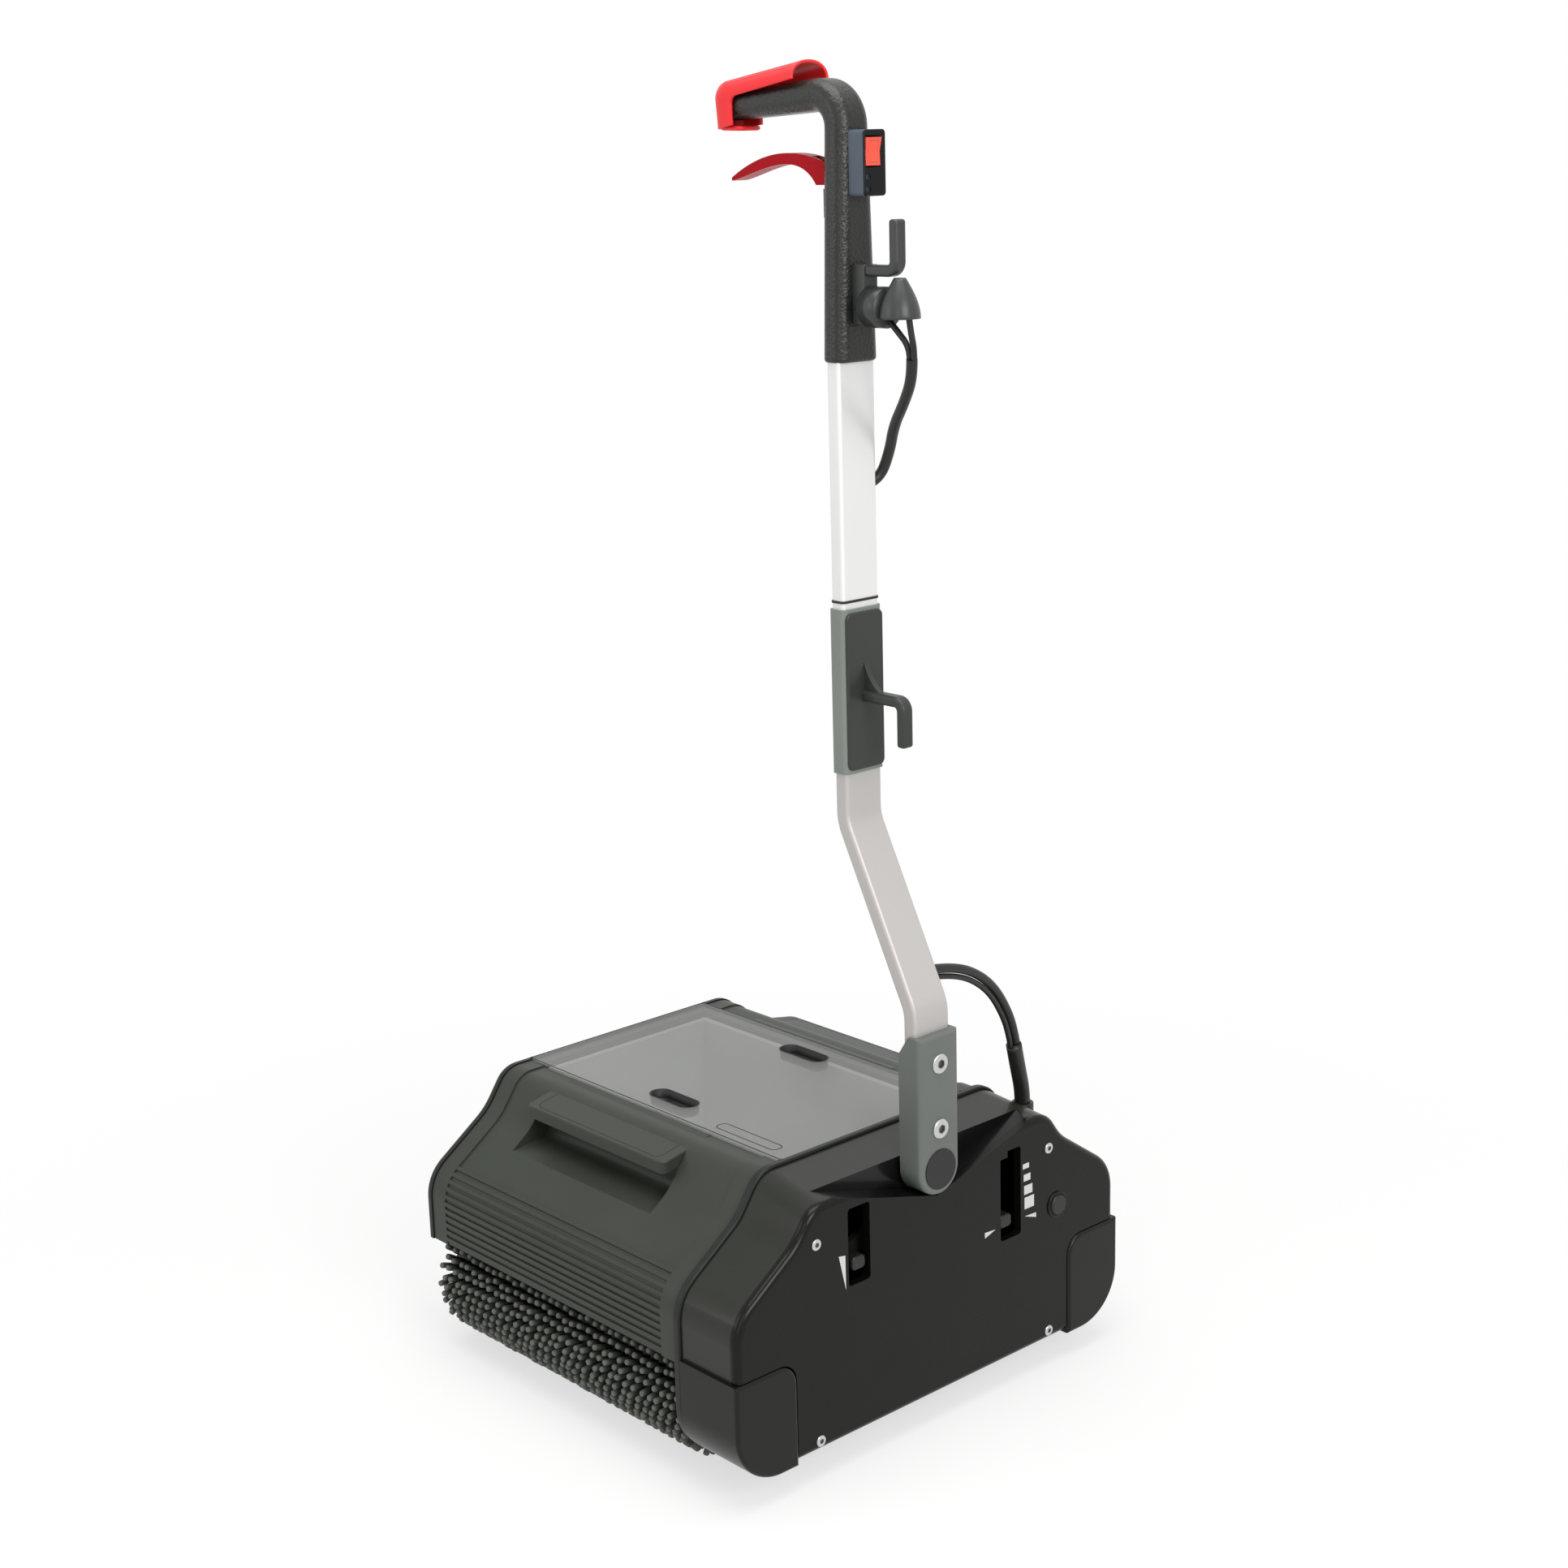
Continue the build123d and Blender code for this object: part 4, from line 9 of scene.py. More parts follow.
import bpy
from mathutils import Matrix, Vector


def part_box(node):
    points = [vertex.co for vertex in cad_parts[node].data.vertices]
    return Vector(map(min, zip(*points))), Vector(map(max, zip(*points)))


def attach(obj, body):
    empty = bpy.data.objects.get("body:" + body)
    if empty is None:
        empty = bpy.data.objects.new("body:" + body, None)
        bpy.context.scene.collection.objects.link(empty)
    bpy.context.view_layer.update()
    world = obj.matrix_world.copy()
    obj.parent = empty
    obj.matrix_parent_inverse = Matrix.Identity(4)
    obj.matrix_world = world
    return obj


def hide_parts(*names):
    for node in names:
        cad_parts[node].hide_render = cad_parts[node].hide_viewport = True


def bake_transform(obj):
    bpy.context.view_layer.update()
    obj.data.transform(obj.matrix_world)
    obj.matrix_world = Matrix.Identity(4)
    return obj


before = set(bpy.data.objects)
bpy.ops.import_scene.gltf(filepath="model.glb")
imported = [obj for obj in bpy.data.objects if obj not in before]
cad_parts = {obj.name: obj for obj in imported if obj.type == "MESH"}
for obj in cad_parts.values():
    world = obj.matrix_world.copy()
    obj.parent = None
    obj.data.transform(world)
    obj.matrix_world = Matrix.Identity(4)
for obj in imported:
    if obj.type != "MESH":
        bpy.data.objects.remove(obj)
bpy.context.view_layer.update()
print("solids loaded:", len(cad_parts))

# %% Tools
import math

import bpy
import numpy as np
from mathutils import Matrix, Vector

MM = 0.001
scene = bpy.context.scene


def mm(*values):
    """A length, point or list of points in millimetres, given back in metres."""
    return np.array(values, float) * MM


# %% [markdown]
# ## Shader maths as Python sums
# A material is a tree of nodes. Writing each Math node by hand hides what the sum is, so a wire
# is wrapped in a small class: adding or multiplying two wires adds the Math node that does it.
# Every other node comes from one method, which sets the node's own settings first and then its sockets.


# %% A wire of a shader tree
class Wire:
    """One output socket of a material's tree, which can be used in sums."""

    def __init__(self, tree, socket=None):
        self.tree = tree
        self.socket = socket

    def node(self, kind, settings=None, sockets=None, output=0):
        """Add a node of any kind: its settings first, then the values or wires of its sockets."""
        node = self.tree.nodes.new(kind)
        for key, value in (settings or {}).items():
            if key == "stops":
                self.set_stops(node.color_ramp, value)
            else:
                setattr(node, key, value)
        for key, value in (sockets or {}).items():
            if isinstance(value, Wire):
                self.tree.links.new(value.socket, node.inputs[key])
            else:
                node.inputs[key].default_value = value
        return Wire(self.tree, node.outputs[output] if node.outputs else None)

    @staticmethod
    def set_stops(ramp, stops):
        """Give a colour ramp its stops, each a place from 0 to 1 and a grey value."""
        while len(ramp.elements) < len(stops):
            ramp.elements.new(1.0)
        for element, (place, grey) in zip(ramp.elements, stops):
            element.position = place
            element.color = (grey, grey, grey, 1.0)

    def math(self, operation, first, second):
        """A Math node between two values, either of which may be a wire."""
        return self.node("ShaderNodeMath", {"operation": operation}, {0: first, 1: second})

    def __add__(self, other):
        return self.math("ADD", self, other)

    def __mul__(self, other):
        return self.math("MULTIPLY", self, other)

    def __sub__(self, other):
        return self.math("SUBTRACT", self, other)

    def __rsub__(self, other):
        return self.math("SUBTRACT", other, self)

    def __gt__(self, other):
        return self.math("GREATER_THAN", self, other)

    def __abs__(self):
        return self.math("ABSOLUTE", self, 0.0)


# %% [markdown]
# ## Starting and ending a finish
# Each finish starts from the piece's own object coordinates and ends in one shader.
# Colours are written as they look on a screen, from 0 to 255, and turned into light values here,
# because a shader adds up light and not screen values.


# %% Colours and the ends of a tree
def screen(red, green, blue):
    """Screen colour from 0 to 255 as linear light: the upper part of the curve is a power of 2.4."""
    values = np.array([red, green, blue]) / 255
    linear = np.where(values <= 0.04045, values / 12.92, ((values + 0.055) / 1.055) ** 2.4)
    return (*linear.tolist(), 1.0)


def start_finish(name):
    """An empty node material, the wire that its nodes grow from, and its object coordinates."""
    material = bpy.data.materials.new(name)
    material.use_nodes = True
    material.node_tree.nodes.clear()
    root = Wire(material.node_tree)
    return material, root, root.node("ShaderNodeTexCoord", output="Object")


def end_finish(root, **sockets):
    """Close the tree with one shader whose sockets are given by name, spaces written as underscores."""
    named = {key.replace("_", " "): value for key, value in sockets.items()}
    shader = root.node("ShaderNodeBsdfPrincipled", sockets=named)
    root.node("ShaderNodeOutputMaterial", sockets={"Surface": shader})


def noise(place, size, detail=2.0, rough=0.5):
    """Cloudy values from 0 to 1 whose clumps are about size metres across."""
    sockets = {"Vector": place, "Scale": 1 / size, "Detail": detail, "Roughness": rough}
    return place.node("ShaderNodeTexNoise", sockets=sockets)


def blend_colour(factor, first, second):
    """Colour that goes from first to second as factor goes from 0 to 1."""
    return factor.node(
        "ShaderNodeMix", {"data_type": "RGBA"}, {"Factor": factor, "A": first, "B": second}, output=2
    )


def bump(height, depth):
    """Normal that makes a height from 0 to 1 look depth metres deep."""
    return height.node("ShaderNodeBump", sockets={"Height": height, "Distance": depth})


def along(place, axis):
    """One of the three object coordinates, by its letter."""
    return place.node("ShaderNodeSeparateXYZ", sockets={"Vector": place}, output=axis)


# %% [markdown]
# ## Moulded plastic
# Nearly the whole machine is injection-moulded. Such plastic isn't one flat colour: the mould's
# spark-eroded grain catches the light as a fine pebble, the melt leaves faint clouds, and handling
# leaves a few short scuffs. One function makes all of them, with the grain's size as an input.


# %% Moulded plastic
def shade_of(colour, factor, lift=0.0):
    """The same colour with its light multiplied, and a little grey light added."""
    return tuple(c * factor + lift for c in colour[:3]) + (1.0,)


def moulded(
    name, colour, rough, grain=0.8, depth=0.03, cloud=0.12, scuff=0.05, coat=0.0, metal=0.0, gloss=0.35,
    mask=None, masked=None,
):
    """Plastic with a pebble grain (in millimetres), faint clouds in its colour, and short pale scuffs.

    A mask is a function from the object coordinates to 0 or 1 that picks the places of a second colour.
    """
    material, root, place = start_finish(name)
    clouds = noise(place, 60 * MM, 3.0)
    cell = {"Vector": place, "Scale": 1 / (grain * MM)}
    pebble = root.node("ShaderNodeTexVoronoi", {"feature": "SMOOTH_F1"}, cell)
    fine = noise(place, 0.6 * grain * MM, 2.0)
    stretched = root.node("ShaderNodeMapping", sockets={"Vector": place, "Scale": (1.0, 7.0, 1.6)})
    streaks = noise(stretched, 22 * MM, 6.0, 0.7)
    marks = root.node("ShaderNodeValToRGB", {"stops": [(0.62, 0.0), (0.74, 1.0)]}, {"Fac": streaks})
    cloudy = blend_colour(clouds, shade_of(colour, 1 - cloud), shade_of(colour, 1 + cloud, 0.002))
    base = blend_colour(marks * scuff * 3.0, cloudy, shade_of(colour, 0.8, 0.03))
    if mask:
        base = blend_colour(mask(place), base, masked)
    normal = bump(pebble * 0.7 + fine * 0.5, depth * MM)
    end_finish(
        root, Base_Color=base, Roughness=clouds * 0.10 + fine * 0.06 + marks * scuff + (rough - 0.08),
        Metallic=metal, Coat_Weight=coat, Coat_Roughness=0.12, Specular_IOR_Level=gloss, Normal=normal,
    )
    return material


# %% [markdown]
# ## Satin alloy
# The handle's tubes are anodised flat section. Drawing leaves hairlines along the length, so a noise
# is made 36 times longer than it is wide, and it moves the roughness and the bump together.


# %% Alloy and steel
def drawn_alloy(name, colour, rough, metal, squeeze=(9.0, 9.0, 0.25), depth=0.012):
    """Metal with hairlines along one direction: the noise is stretched where squeeze is small."""
    material, root, place = start_finish(name)
    stretched = root.node("ShaderNodeMapping", sockets={"Vector": place, "Scale": squeeze})
    hair = noise(stretched, 4 * MM, 4.0, 0.65)
    clouds = noise(place, 80 * MM, 2.0)
    base = blend_colour(hair * 0.6 + clouds * 0.4, shade_of(colour, 0.95), colour)
    end_finish(
        root, Base_Color=base, Roughness=hair * 0.14 + (rough - 0.07), Metallic=metal,
        Normal=bump(hair, depth * MM),
    )
    return material


# %% [markdown]
# ## Smoky lid
# The lid is a clear grey moulding: it shows what is in the tank, dimly, and mirrors the room.
# A see-through share on the shader does that and survives export, where a glass shader may not.


# %% Clear lid and the pale tank under it
def smoky(name, colour, alpha, rough):
    """See-through moulding whose tint thickens in faint clouds."""
    material, root, place = start_finish(name)
    clouds = noise(place, 90 * MM, 2.0)
    fine = noise(place, 1.4 * MM, 2.0)
    tint = blend_colour(clouds, colour, shade_of(colour, 1.06))
    end_finish(
        root, Base_Color=tint, Roughness=clouds * 0.06 + (rough - 0.03),
        Alpha=clouds * 0.04 + (alpha - 0.02), Normal=bump(fine, 0.004 * MM), IOR=1.5,
    )
    return material


# %% [markdown]
# ## Finishes for every solid
# A table says which solid takes which finish. The colours were read off the picture of the machine:
# warm near-black on the side cover, green-grey on the trays, pale alloy on the upper tube and a
# warmer grey on the lower one. A thin clear coat on the dark mouldings gives their edges a bright line.


# %% Places that a finish picks out, in millimetres
POCKET_WALL_X = 189.6
POCKET_APEX_Z = 206.4
POCKET_SLOPE = math.tan(math.radians(16.0))
SWITCH_FACE_X = 156.4
ROCKER_PLACE = (-0.5, 1051.5)
ROCKER_PANEL = (5.4, 8.2)


def in_pocket(place):
    """The walls of the V-shaped pocket: right of its inner wall, and above its sloping floor."""
    floor_z = abs(along(place, "Y")) * POCKET_SLOPE + POCKET_APEX_Z * MM
    return (along(place, "X") > POCKET_WALL_X * MM) * (along(place, "Z") > floor_z)


def on_switch_front(place):
    """The front face of the switch housing."""
    return along(place, "X") > SWITCH_FACE_X * MM


def panel_line(place):
    """A thin line round a rectangle on the rocker: where the larger of two scaled distances is about 1."""
    across = (along(place, "Y") - ROCKER_PLACE[0] * MM) * (1 / (ROCKER_PANEL[0] * MM))
    upward = (along(place, "Z") - ROCKER_PLACE[1] * MM) * (1 / (ROCKER_PANEL[1] * MM))
    reach = across.math("MAXIMUM", abs(across), abs(upward))
    return (reach > 0.93) * (1.04 - reach > 0.0)


# %% Make the finishes
finishes = {
    "shell": moulded("shell_plastic", screen(53, 57, 50), 0.40, gloss=0.2),
    "housing": moulded(
        "housing_plastic", screen(33, 35, 29), 0.32, depth=0.006, gloss=0.12, coat=0.3,
        mask=in_pocket, masked=screen(12, 12, 12),
    ),
    "cover": moulded(
        "cover_plastic", screen(9, 9, 6), 0.26, grain=0.9, depth=0.003, gloss=0.1, scuff=0.02, coat=0.2,
    ),
    "side": moulded("side_plastic", screen(30, 32, 30), 0.36, depth=0.02, gloss=0.2),
    "frame": moulded("frame_plastic", screen(44, 46, 44), 0.50, grain=1.0, depth=0.04),
    "bumper": moulded("bumper_plastic", screen(18, 19, 16), 0.34, depth=0.006, gloss=0.1, coat=0.25),
    "bracket": moulded("bracket_plastic", screen(98, 103, 99), 0.42, grain=0.7),
    "sleeve": moulded("sleeve_plastic", screen(118, 126, 119), 0.40, grain=0.7),
    "plate": moulded("hook_plate_plastic", screen(46, 49, 46), 0.38, grain=1.0, depth=0.04),
    "cap": moulded("cap_plastic", screen(26, 27, 26), 0.34, depth=0.02),
    "grip": moulded("grip_plastic", screen(28, 30, 26), 0.30, grain=2.4, depth=0.55, gloss=0.4),
    "hook": moulded("hook_plastic", screen(50, 53, 51), 0.32, grain=1.2, depth=0.05, gloss=0.4),
    "switch": moulded(
        "switch_plastic", screen(78, 87, 98), 0.26, grain=0.6, depth=0.01, gloss=0.2,
        mask=on_switch_front, masked=screen(11, 11, 12),
    ),
    "lever": moulded("lever_plastic", screen(30, 30, 29), 0.38, grain=0.7),
    "red": moulded("red_plastic", screen(232, 36, 42), 0.34, depth=0.02, cloud=0.04, scuff=0.01),
    "dark_red": moulded(
        "dark_red_plastic", screen(160, 4, 18), 0.32, grain=0.9, depth=0.01, cloud=0.04, scuff=0.0, gloss=0.1,
    ),
    "orange": moulded(
        "orange_red_plastic", screen(240, 82, 62), 0.28, grain=0.6, depth=0.01, cloud=0.03, scuff=0.0,
        mask=panel_line, masked=screen(172, 84, 64),
    ),
    "pale": moulded("pale_plastic", screen(205, 204, 196), 0.45, grain=0.9),
    "print": moulded("printed_mark", screen(196, 199, 194), 0.50, grain=0.6, depth=0.005, cloud=0.05),
    # The same dark finish serves the moulded lines and the painted shadow of the gap round the lid.
    "line": moulded("moulded_line_and_gap_shade", screen(20, 21, 20), 0.50, grain=0.6, depth=0.005, cloud=0.05),
    "pipe": moulded("pipe_plastic", screen(70, 70, 70), 0.42, grain=0.9),
    "belt": moulded("belt_rubber", screen(30, 30, 30), 0.62, grain=1.2, depth=0.08),
    "cable": moulded("cable_rubber", screen(28, 28, 27), 0.40, depth=0.02),
    "tread": moulded("wheel_rubber", screen(82, 82, 80), 0.60, grain=1.4, depth=0.08),
    "motor": moulded("motor_metal", screen(90, 92, 96), 0.40, depth=0.02, metal=0.6),
    "tube": drawn_alloy("tube_alloy", screen(228, 228, 226), 0.40, 0.4),
    "lower_tube": drawn_alloy("grey_alloy", screen(184, 180, 177), 0.42, 0.3),
    "alloy": drawn_alloy("bright_alloy", screen(205, 207, 208), 0.35, 0.9, squeeze=(0.25, 9.0, 9.0)),
    "steel": drawn_alloy("steel", screen(205, 205, 202), 0.30, 0.85, squeeze=(0.25, 9.0, 9.0)),
    "lid": smoky("clear_lid", screen(148, 149, 145), 0.36, 0.12),
    "tank": smoky("tank_plastic", screen(206, 208, 205), 0.97, 0.40),
}

worn_by = {
    "shell": ["front_tray", "rear_tray"],
    "housing": ["drive_housing"],
    "cover": ["side_cover"],
    "side": ["left_side_plate", "right_inner_plate"],
    "frame": ["base_frame", "front_brush_core", "rear_brush_core", "wheel_carriage"],
    "bumper": ["front_bumper", "rear_bumper"],
    "bracket": ["pivot_bracket"],
    "sleeve": ["tube_sleeve"],
    "plate": ["hook_plate"],
    "cap": ["pivot_cap"],
    "grip": ["grip", "lever_clevis"],
    "hook": ["hook_bracket", "cable_bell"],
    "switch": ["switch_box"],
    "lever": ["height_lever", "mop_lever", "breaker_button"],
    "red": ["deadman_bar"],
    "dark_red": ["dosing_lever"],
    "orange": ["rocker_switch"],
    "pale": ["brush_bushes", "motor_pulley", "front_brush_pulley", "rear_brush_pulley"],
    "pipe": ["drip_manifold", "dosing_valve", "breaker_body"],
    "belt": ["front_belt", "rear_belt"],
    "cable": [
        "cable_grommet", "tube_band", "upper_cable", "upper_leads", "lower_leads", "lower_cable_sleeve",
    ],
    "tread": ["front_wheels", "rear_wheels"],
    "motor": ["motor"],
    "tube": ["upper_tube"],
    "lower_tube": ["lower_tube"],
    "alloy": ["gear_bridge"],
    "steel": [
        "cover_screws", "bracket_screws", "lever_pins", "handle_pivot_shaft", "motor_shaft", "layshaft",
        "front_axle", "rear_axle",
    ],
    "lid": ["lid"],
    "tank": ["solution_tank"],
}


def wear(piece, finish):
    """Give a piece one finish on all its faces."""
    piece.data.materials.clear()
    piece.data.materials.append(finish)


for finish, nodes in worn_by.items():
    for node in nodes:
        wear(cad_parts[node], finishes[finish])
print("finishes made:", len(finishes))

# %% [markdown]
# ## Surfaces from arrays
# New pieces are worked out with numpy: a grid of points indexed by two parameters becomes a mesh
# in one call. No loop visits a vertex.


# %% Grids into meshes
def grid_faces(rows, columns, close_rows=False, close_columns=False):
    """Quads between neighbours of a rows by columns grid, as one array of vertex numbers."""
    index = np.arange(rows * columns).reshape(rows, columns)
    if close_rows:
        index = np.vstack([index, index[:1]])
    if close_columns:
        index = np.hstack([index, index[:, :1]])
    corners = (index[:-1, :-1], index[:-1, 1:], index[1:, 1:], index[1:, :-1])
    return np.stack(corners, -1).reshape(-1, 4)


def add_piece(name, points, faces, finish, smooth=True):
    """A mesh object at the origin from points and lists of vertex numbers."""
    mesh = bpy.data.meshes.new(name)
    mesh.from_pydata(np.asarray(points).reshape(-1, 3).tolist(), [], faces)
    mesh.polygons.foreach_set("use_smooth", np.full(len(mesh.polygons), smooth))
    mesh.update()
    piece = bpy.data.objects.new(name, mesh)
    scene.collection.objects.link(piece)
    wear(piece, finish)
    return piece


# %% [markdown]
# ## Bristles
# Each brush is a roller with thick tufts of nylon set in a staggered lattice. The solid has fewer,
# square tufts; here each roller gets its full set. One tuft is a round rod with a domed end, worked out
# once, and copied to every place by turning and moving the whole array of its points at once.

# %% One tuft
TUFT_ROWS = 40
TUFTS_IN_ROW = 33
TUFT_COUNT = TUFT_ROWS * TUFTS_IN_ROW
TUFT_SIDES = 8
tuft_heights = np.array([0.0, 0.55, 0.88, 0.97, 1.0])
tuft_widths = np.array([0.80, 0.92, 1.0, 0.90, 0.62])
TUFT_RADIUS = 2.8 * MM
END_SPLAY = 0.03
SPLAY_REACH = 14.0 * MM
LEAN_SPREAD = 0.05
LEAN_LIMIT = 0.07
TUFT_LENGTH = 20.5 * MM
WORN_SHARE = 0.05
TUFT_CORNERS = len(tuft_heights) * TUFT_SIDES
SLEEVE_SIDES = 96
ROOT_COVER = 0.6 * MM
CORE_GAP = 0.05 * MM


def bristle_finish():
    """Nylon with painted shade, dark between the tufts and pale at the tips, a little different on each tuft.
    """
    material, root, place = start_finish("bristle_nylon")
    height = root.node("ShaderNodeAttribute", {"attribute_name": "tuft_height"}, output="Fac")
    shade = root.node("ShaderNodeAttribute", {"attribute_name": "tuft_shade"}, output="Fac")
    stretched = root.node("ShaderNodeMapping", sockets={"Vector": place, "Scale": (3.0, 1.0, 1.0)})
    strands = noise(stretched, 1.1 * MM, 3.0)
    # Painted shade: the colour darkens from the tips down to the roots, where the tufts shade each other.
    painted_shade_lift = height * height * height
    factor = painted_shade_lift * 0.75 + shade * 0.18 + strands * 0.14 - 0.06
    base = blend_colour(factor, screen(22, 23, 20), screen(92, 95, 88))
    end_finish(root, Base_Color=base, Roughness=strands * 0.2 + 0.42, Normal=bump(strands, 0.25 * MM))
    return material


finishes["bristle"] = bristle_finish()


# %% The tufts of a roller
def tuft_points(low, high, draw):
    """Points of all the tufts on a roller that fills a box.

    A tuft goes out along its own radius, leans a little at random, and splays outwards near the roller's
    left end, where no wall stands in its way. Each row has its own angle round the roller.
    """
    centre = (low + high) / 2
    tip_radius = (high.z - low.z) / 2
    root_radius = tip_radius - TUFT_LENGTH
    row = np.repeat(np.arange(TUFT_ROWS), TUFTS_IN_ROW)
    place = np.tile(np.arange(TUFTS_IN_ROW), TUFT_ROWS)
    pitch = (high.x - low.x) / (TUFTS_IN_ROW + 0.5)
    seat = low.x + pitch * (place + 0.5 + 0.5 * (row % 2))
    turn = 2 * np.pi * row / TUFT_ROWS
    lean = np.clip(draw.normal(0, LEAN_SPREAD, (TUFT_COUNT, 2)), -LEAN_LIMIT, LEAN_LIMIT)
    lean[:, 0] -= END_SPLAY * np.clip(1 - (seat - low.x) / SPLAY_REACH, 0, 1)
    reach = (tip_radius - root_radius) * (1 - WORN_SHARE * draw.random(TUFT_COUNT))
    angle = 2 * np.pi * np.arange(TUFT_SIDES) / TUFT_SIDES
    ring_x = TUFT_RADIUS * np.outer(tuft_widths, np.cos(angle))
    ring_t = TUFT_RADIUS * np.outer(tuft_widths, np.sin(angle))
    out = root_radius + reach[:, None, None] * tuft_heights[None, :, None]
    x = seat[:, None, None] + ring_x[None] + (out - root_radius) * lean[:, 0, None, None]
    side = ring_t[None] + (out - root_radius) * lean[:, 1, None, None]
    cos, sin = np.cos(turn)[:, None, None], np.sin(turn)[:, None, None]
    y = centre.y + out * cos - side * sin
    z = centre.z + out * sin + side * cos
    return np.stack([np.broadcast_to(x, y.shape), y, z], -1).reshape(-1, 3)


def tuft_faces():
    """Faces of all the tufts: the walls, and a cap on the tip and on the root of each."""
    starts = np.arange(TUFT_COUNT)[:, None] * TUFT_CORNERS
    walls = grid_faces(len(tuft_heights), TUFT_SIDES, close_columns=True)[:, ::-1]
    wall_faces = (walls[None] + starts[:, None]).reshape(-1, 4)
    tip_faces = np.arange(TUFT_CORNERS - TUFT_SIDES, TUFT_CORNERS)[::-1] + starts
    root_faces = np.arange(TUFT_SIDES) + starts
    return wall_faces.tolist() + tip_faces.tolist() + root_faces.tolist()


# %% A roller full of tufts
def bristle_sleeve(low, high, core_high):
    """Backing tube: an outer and an inner circle at both ends, as a closed ring of four rows."""
    centre = (low + high) / 2
    outer = (high.z - low.z) / 2 - TUFT_LENGTH + ROOT_COVER
    inner = core_high.z - centre.z + CORE_GAP
    angle = 2 * np.pi * np.arange(SLEEVE_SIDES) / SLEEVE_SIDES
    x = np.array([low.x, high.x, high.x, low.x])[:, None] + 0 * angle[None]
    reach = np.array([outer, outer, inner, inner])[:, None]
    points = np.stack([x, centre.y + reach * np.cos(angle), centre.z + reach * np.sin(angle)], -1)
    return points.reshape(-1, 3), grid_faces(4, SLEEVE_SIDES, close_rows=True, close_columns=True)


def bristle_roll(name, node, core_node, body, seed):
    """All the tufts of a roller on their sleeve, with the two values that the finish reads at each point."""
    low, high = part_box(node)
    draw = np.random.default_rng(seed)
    tufts = tuft_points(low, high, draw)
    sleeve, sleeve_faces = bristle_sleeve(low, high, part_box(core_node)[1])
    faces = tuft_faces() + (sleeve_faces + len(tufts)).tolist()
    piece = add_piece(name, np.vstack([tufts, sleeve]), faces, finishes["bristle"])
    heights = np.tile(np.repeat(tuft_heights, TUFT_SIDES), TUFT_COUNT)
    shades = np.repeat(draw.random(TUFT_COUNT), TUFT_CORNERS)
    for key, values in (("tuft_height", heights), ("tuft_shade", shades)):
        layer = piece.data.attributes.new(key, "FLOAT", "POINT")
        layer.data.foreach_set("value", np.append(values, np.zeros(len(sleeve))).astype(np.float32))
    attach(piece, body)
    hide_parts(node)


bristle_roll("front_bristles", "front_brush_tufts", "front_brush_core", "front_brush", 11)
bristle_roll("rear_bristles", "rear_brush_tufts", "rear_brush_core", "rear_brush", 12)
print("tufts on each roller:", TUFT_COUNT)

# %% [markdown]
# ## Cables
# A cable is a line of a fixed length. Its route is a short list of given points, and a smooth
# spline of order three goes inside their corners. Where the handle swings, the cable has to bend,
# so there it is a mesh tube along the spline.


# %% Splines and tubes
def spline_object(name, points, radius=0.0):
    """A curve of one smooth open spline along the route, with a round section if radius is given."""
    curve = bpy.data.curves.new(name, "CURVE")
    curve.dimensions = "3D"
    curve.resolution_u = 12
    spline = curve.splines.new("NURBS")
    spline.points.add(len(points) - 1)
    homogeneous = np.hstack([points, np.ones((len(points), 1))])
    spline.points.foreach_set("co", homogeneous.ravel())
    spline.order_u = 3
    spline.use_endpoint_u = True
    curve.bevel_depth = radius
    curve.bevel_resolution = 5
    curve.use_fill_caps = True
    piece = bpy.data.objects.new(name, curve)
    scene.collection.objects.link(piece)
    return piece


def spline_points(name, points):
    """The points that Blender puts along the spline of a route."""
    guide = spline_object(name + "_guide", points)
    mesh = bpy.data.meshes.new_from_object(guide)
    line = np.zeros(len(mesh.vertices) * 3)
    mesh.vertices.foreach_get("co", line)
    bpy.data.objects.remove(guide)
    bpy.data.meshes.remove(mesh)
    return line.reshape(-1, 3)


def tube_piece(name, line, radius, finish, sides=20):
    """Tube along a line: at each point a circle square to the line, with a cap at each end."""
    tangent = np.gradient(line, axis=0)
    tangent /= np.linalg.norm(tangent, axis=1, keepdims=True)
    across = np.cross(tangent, np.array([1.0, 0.0, 0.0]))
    across /= np.linalg.norm(across, axis=1, keepdims=True)
    other = np.cross(tangent, across)
    angle = 2 * np.pi * np.arange(sides) / sides
    radii = np.broadcast_to(radius, len(line))[:, None, None]
    circle = across[:, None] * np.cos(angle)[None, :, None] + other[:, None] * np.sin(angle)[None, :, None]
    points = line[:, None] + radii * circle
    faces = grid_faces(len(line), sides, close_columns=True).tolist()
    last = (len(line) - 1) * sides
    faces += [list(range(sides))[::-1], list(range(last, last + sides))]
    return add_piece(name, points, faces, finish)


def line_length(line):
    """Length of a line of points."""
    return float(np.linalg.norm(np.diff(line, axis=0), axis=1).sum())


# %% Lower cables, from the handle's tube to the grommet
LEAD_RADIUS = 4.0 * MM
CONTROL_RADIUS = 2.5 * MM
CABLE_SLEEVE_RADIUS = 7.0 * MM
lead_route = mm(
    (191.3, 19.0, 395.6), (190.8, 39.8, 392.4), (189.1, 70.1, 381.0), (185.8, 99.0, 359.9),
    (180.9, 122.4, 329.2), (177.4, 133.4, 306.6), (175.6, 137.6, 295.3),
)
control_route = mm(
    (191.3, 19.0, 388.7), (190.8, 38.3, 385.6), (189.1, 67.0, 374.9), (185.8, 94.4, 354.8),
    (180.9, 116.6, 325.5), (177.4, 127.1, 303.9), (175.6, 131.0, 293.0),
)
sleeve_route = mm((175.6, 135.1, 294.4), (171.6, 144.6, 269.0), (168.0, 154.0, 245.1), (168.0, 154.0, 234.0))


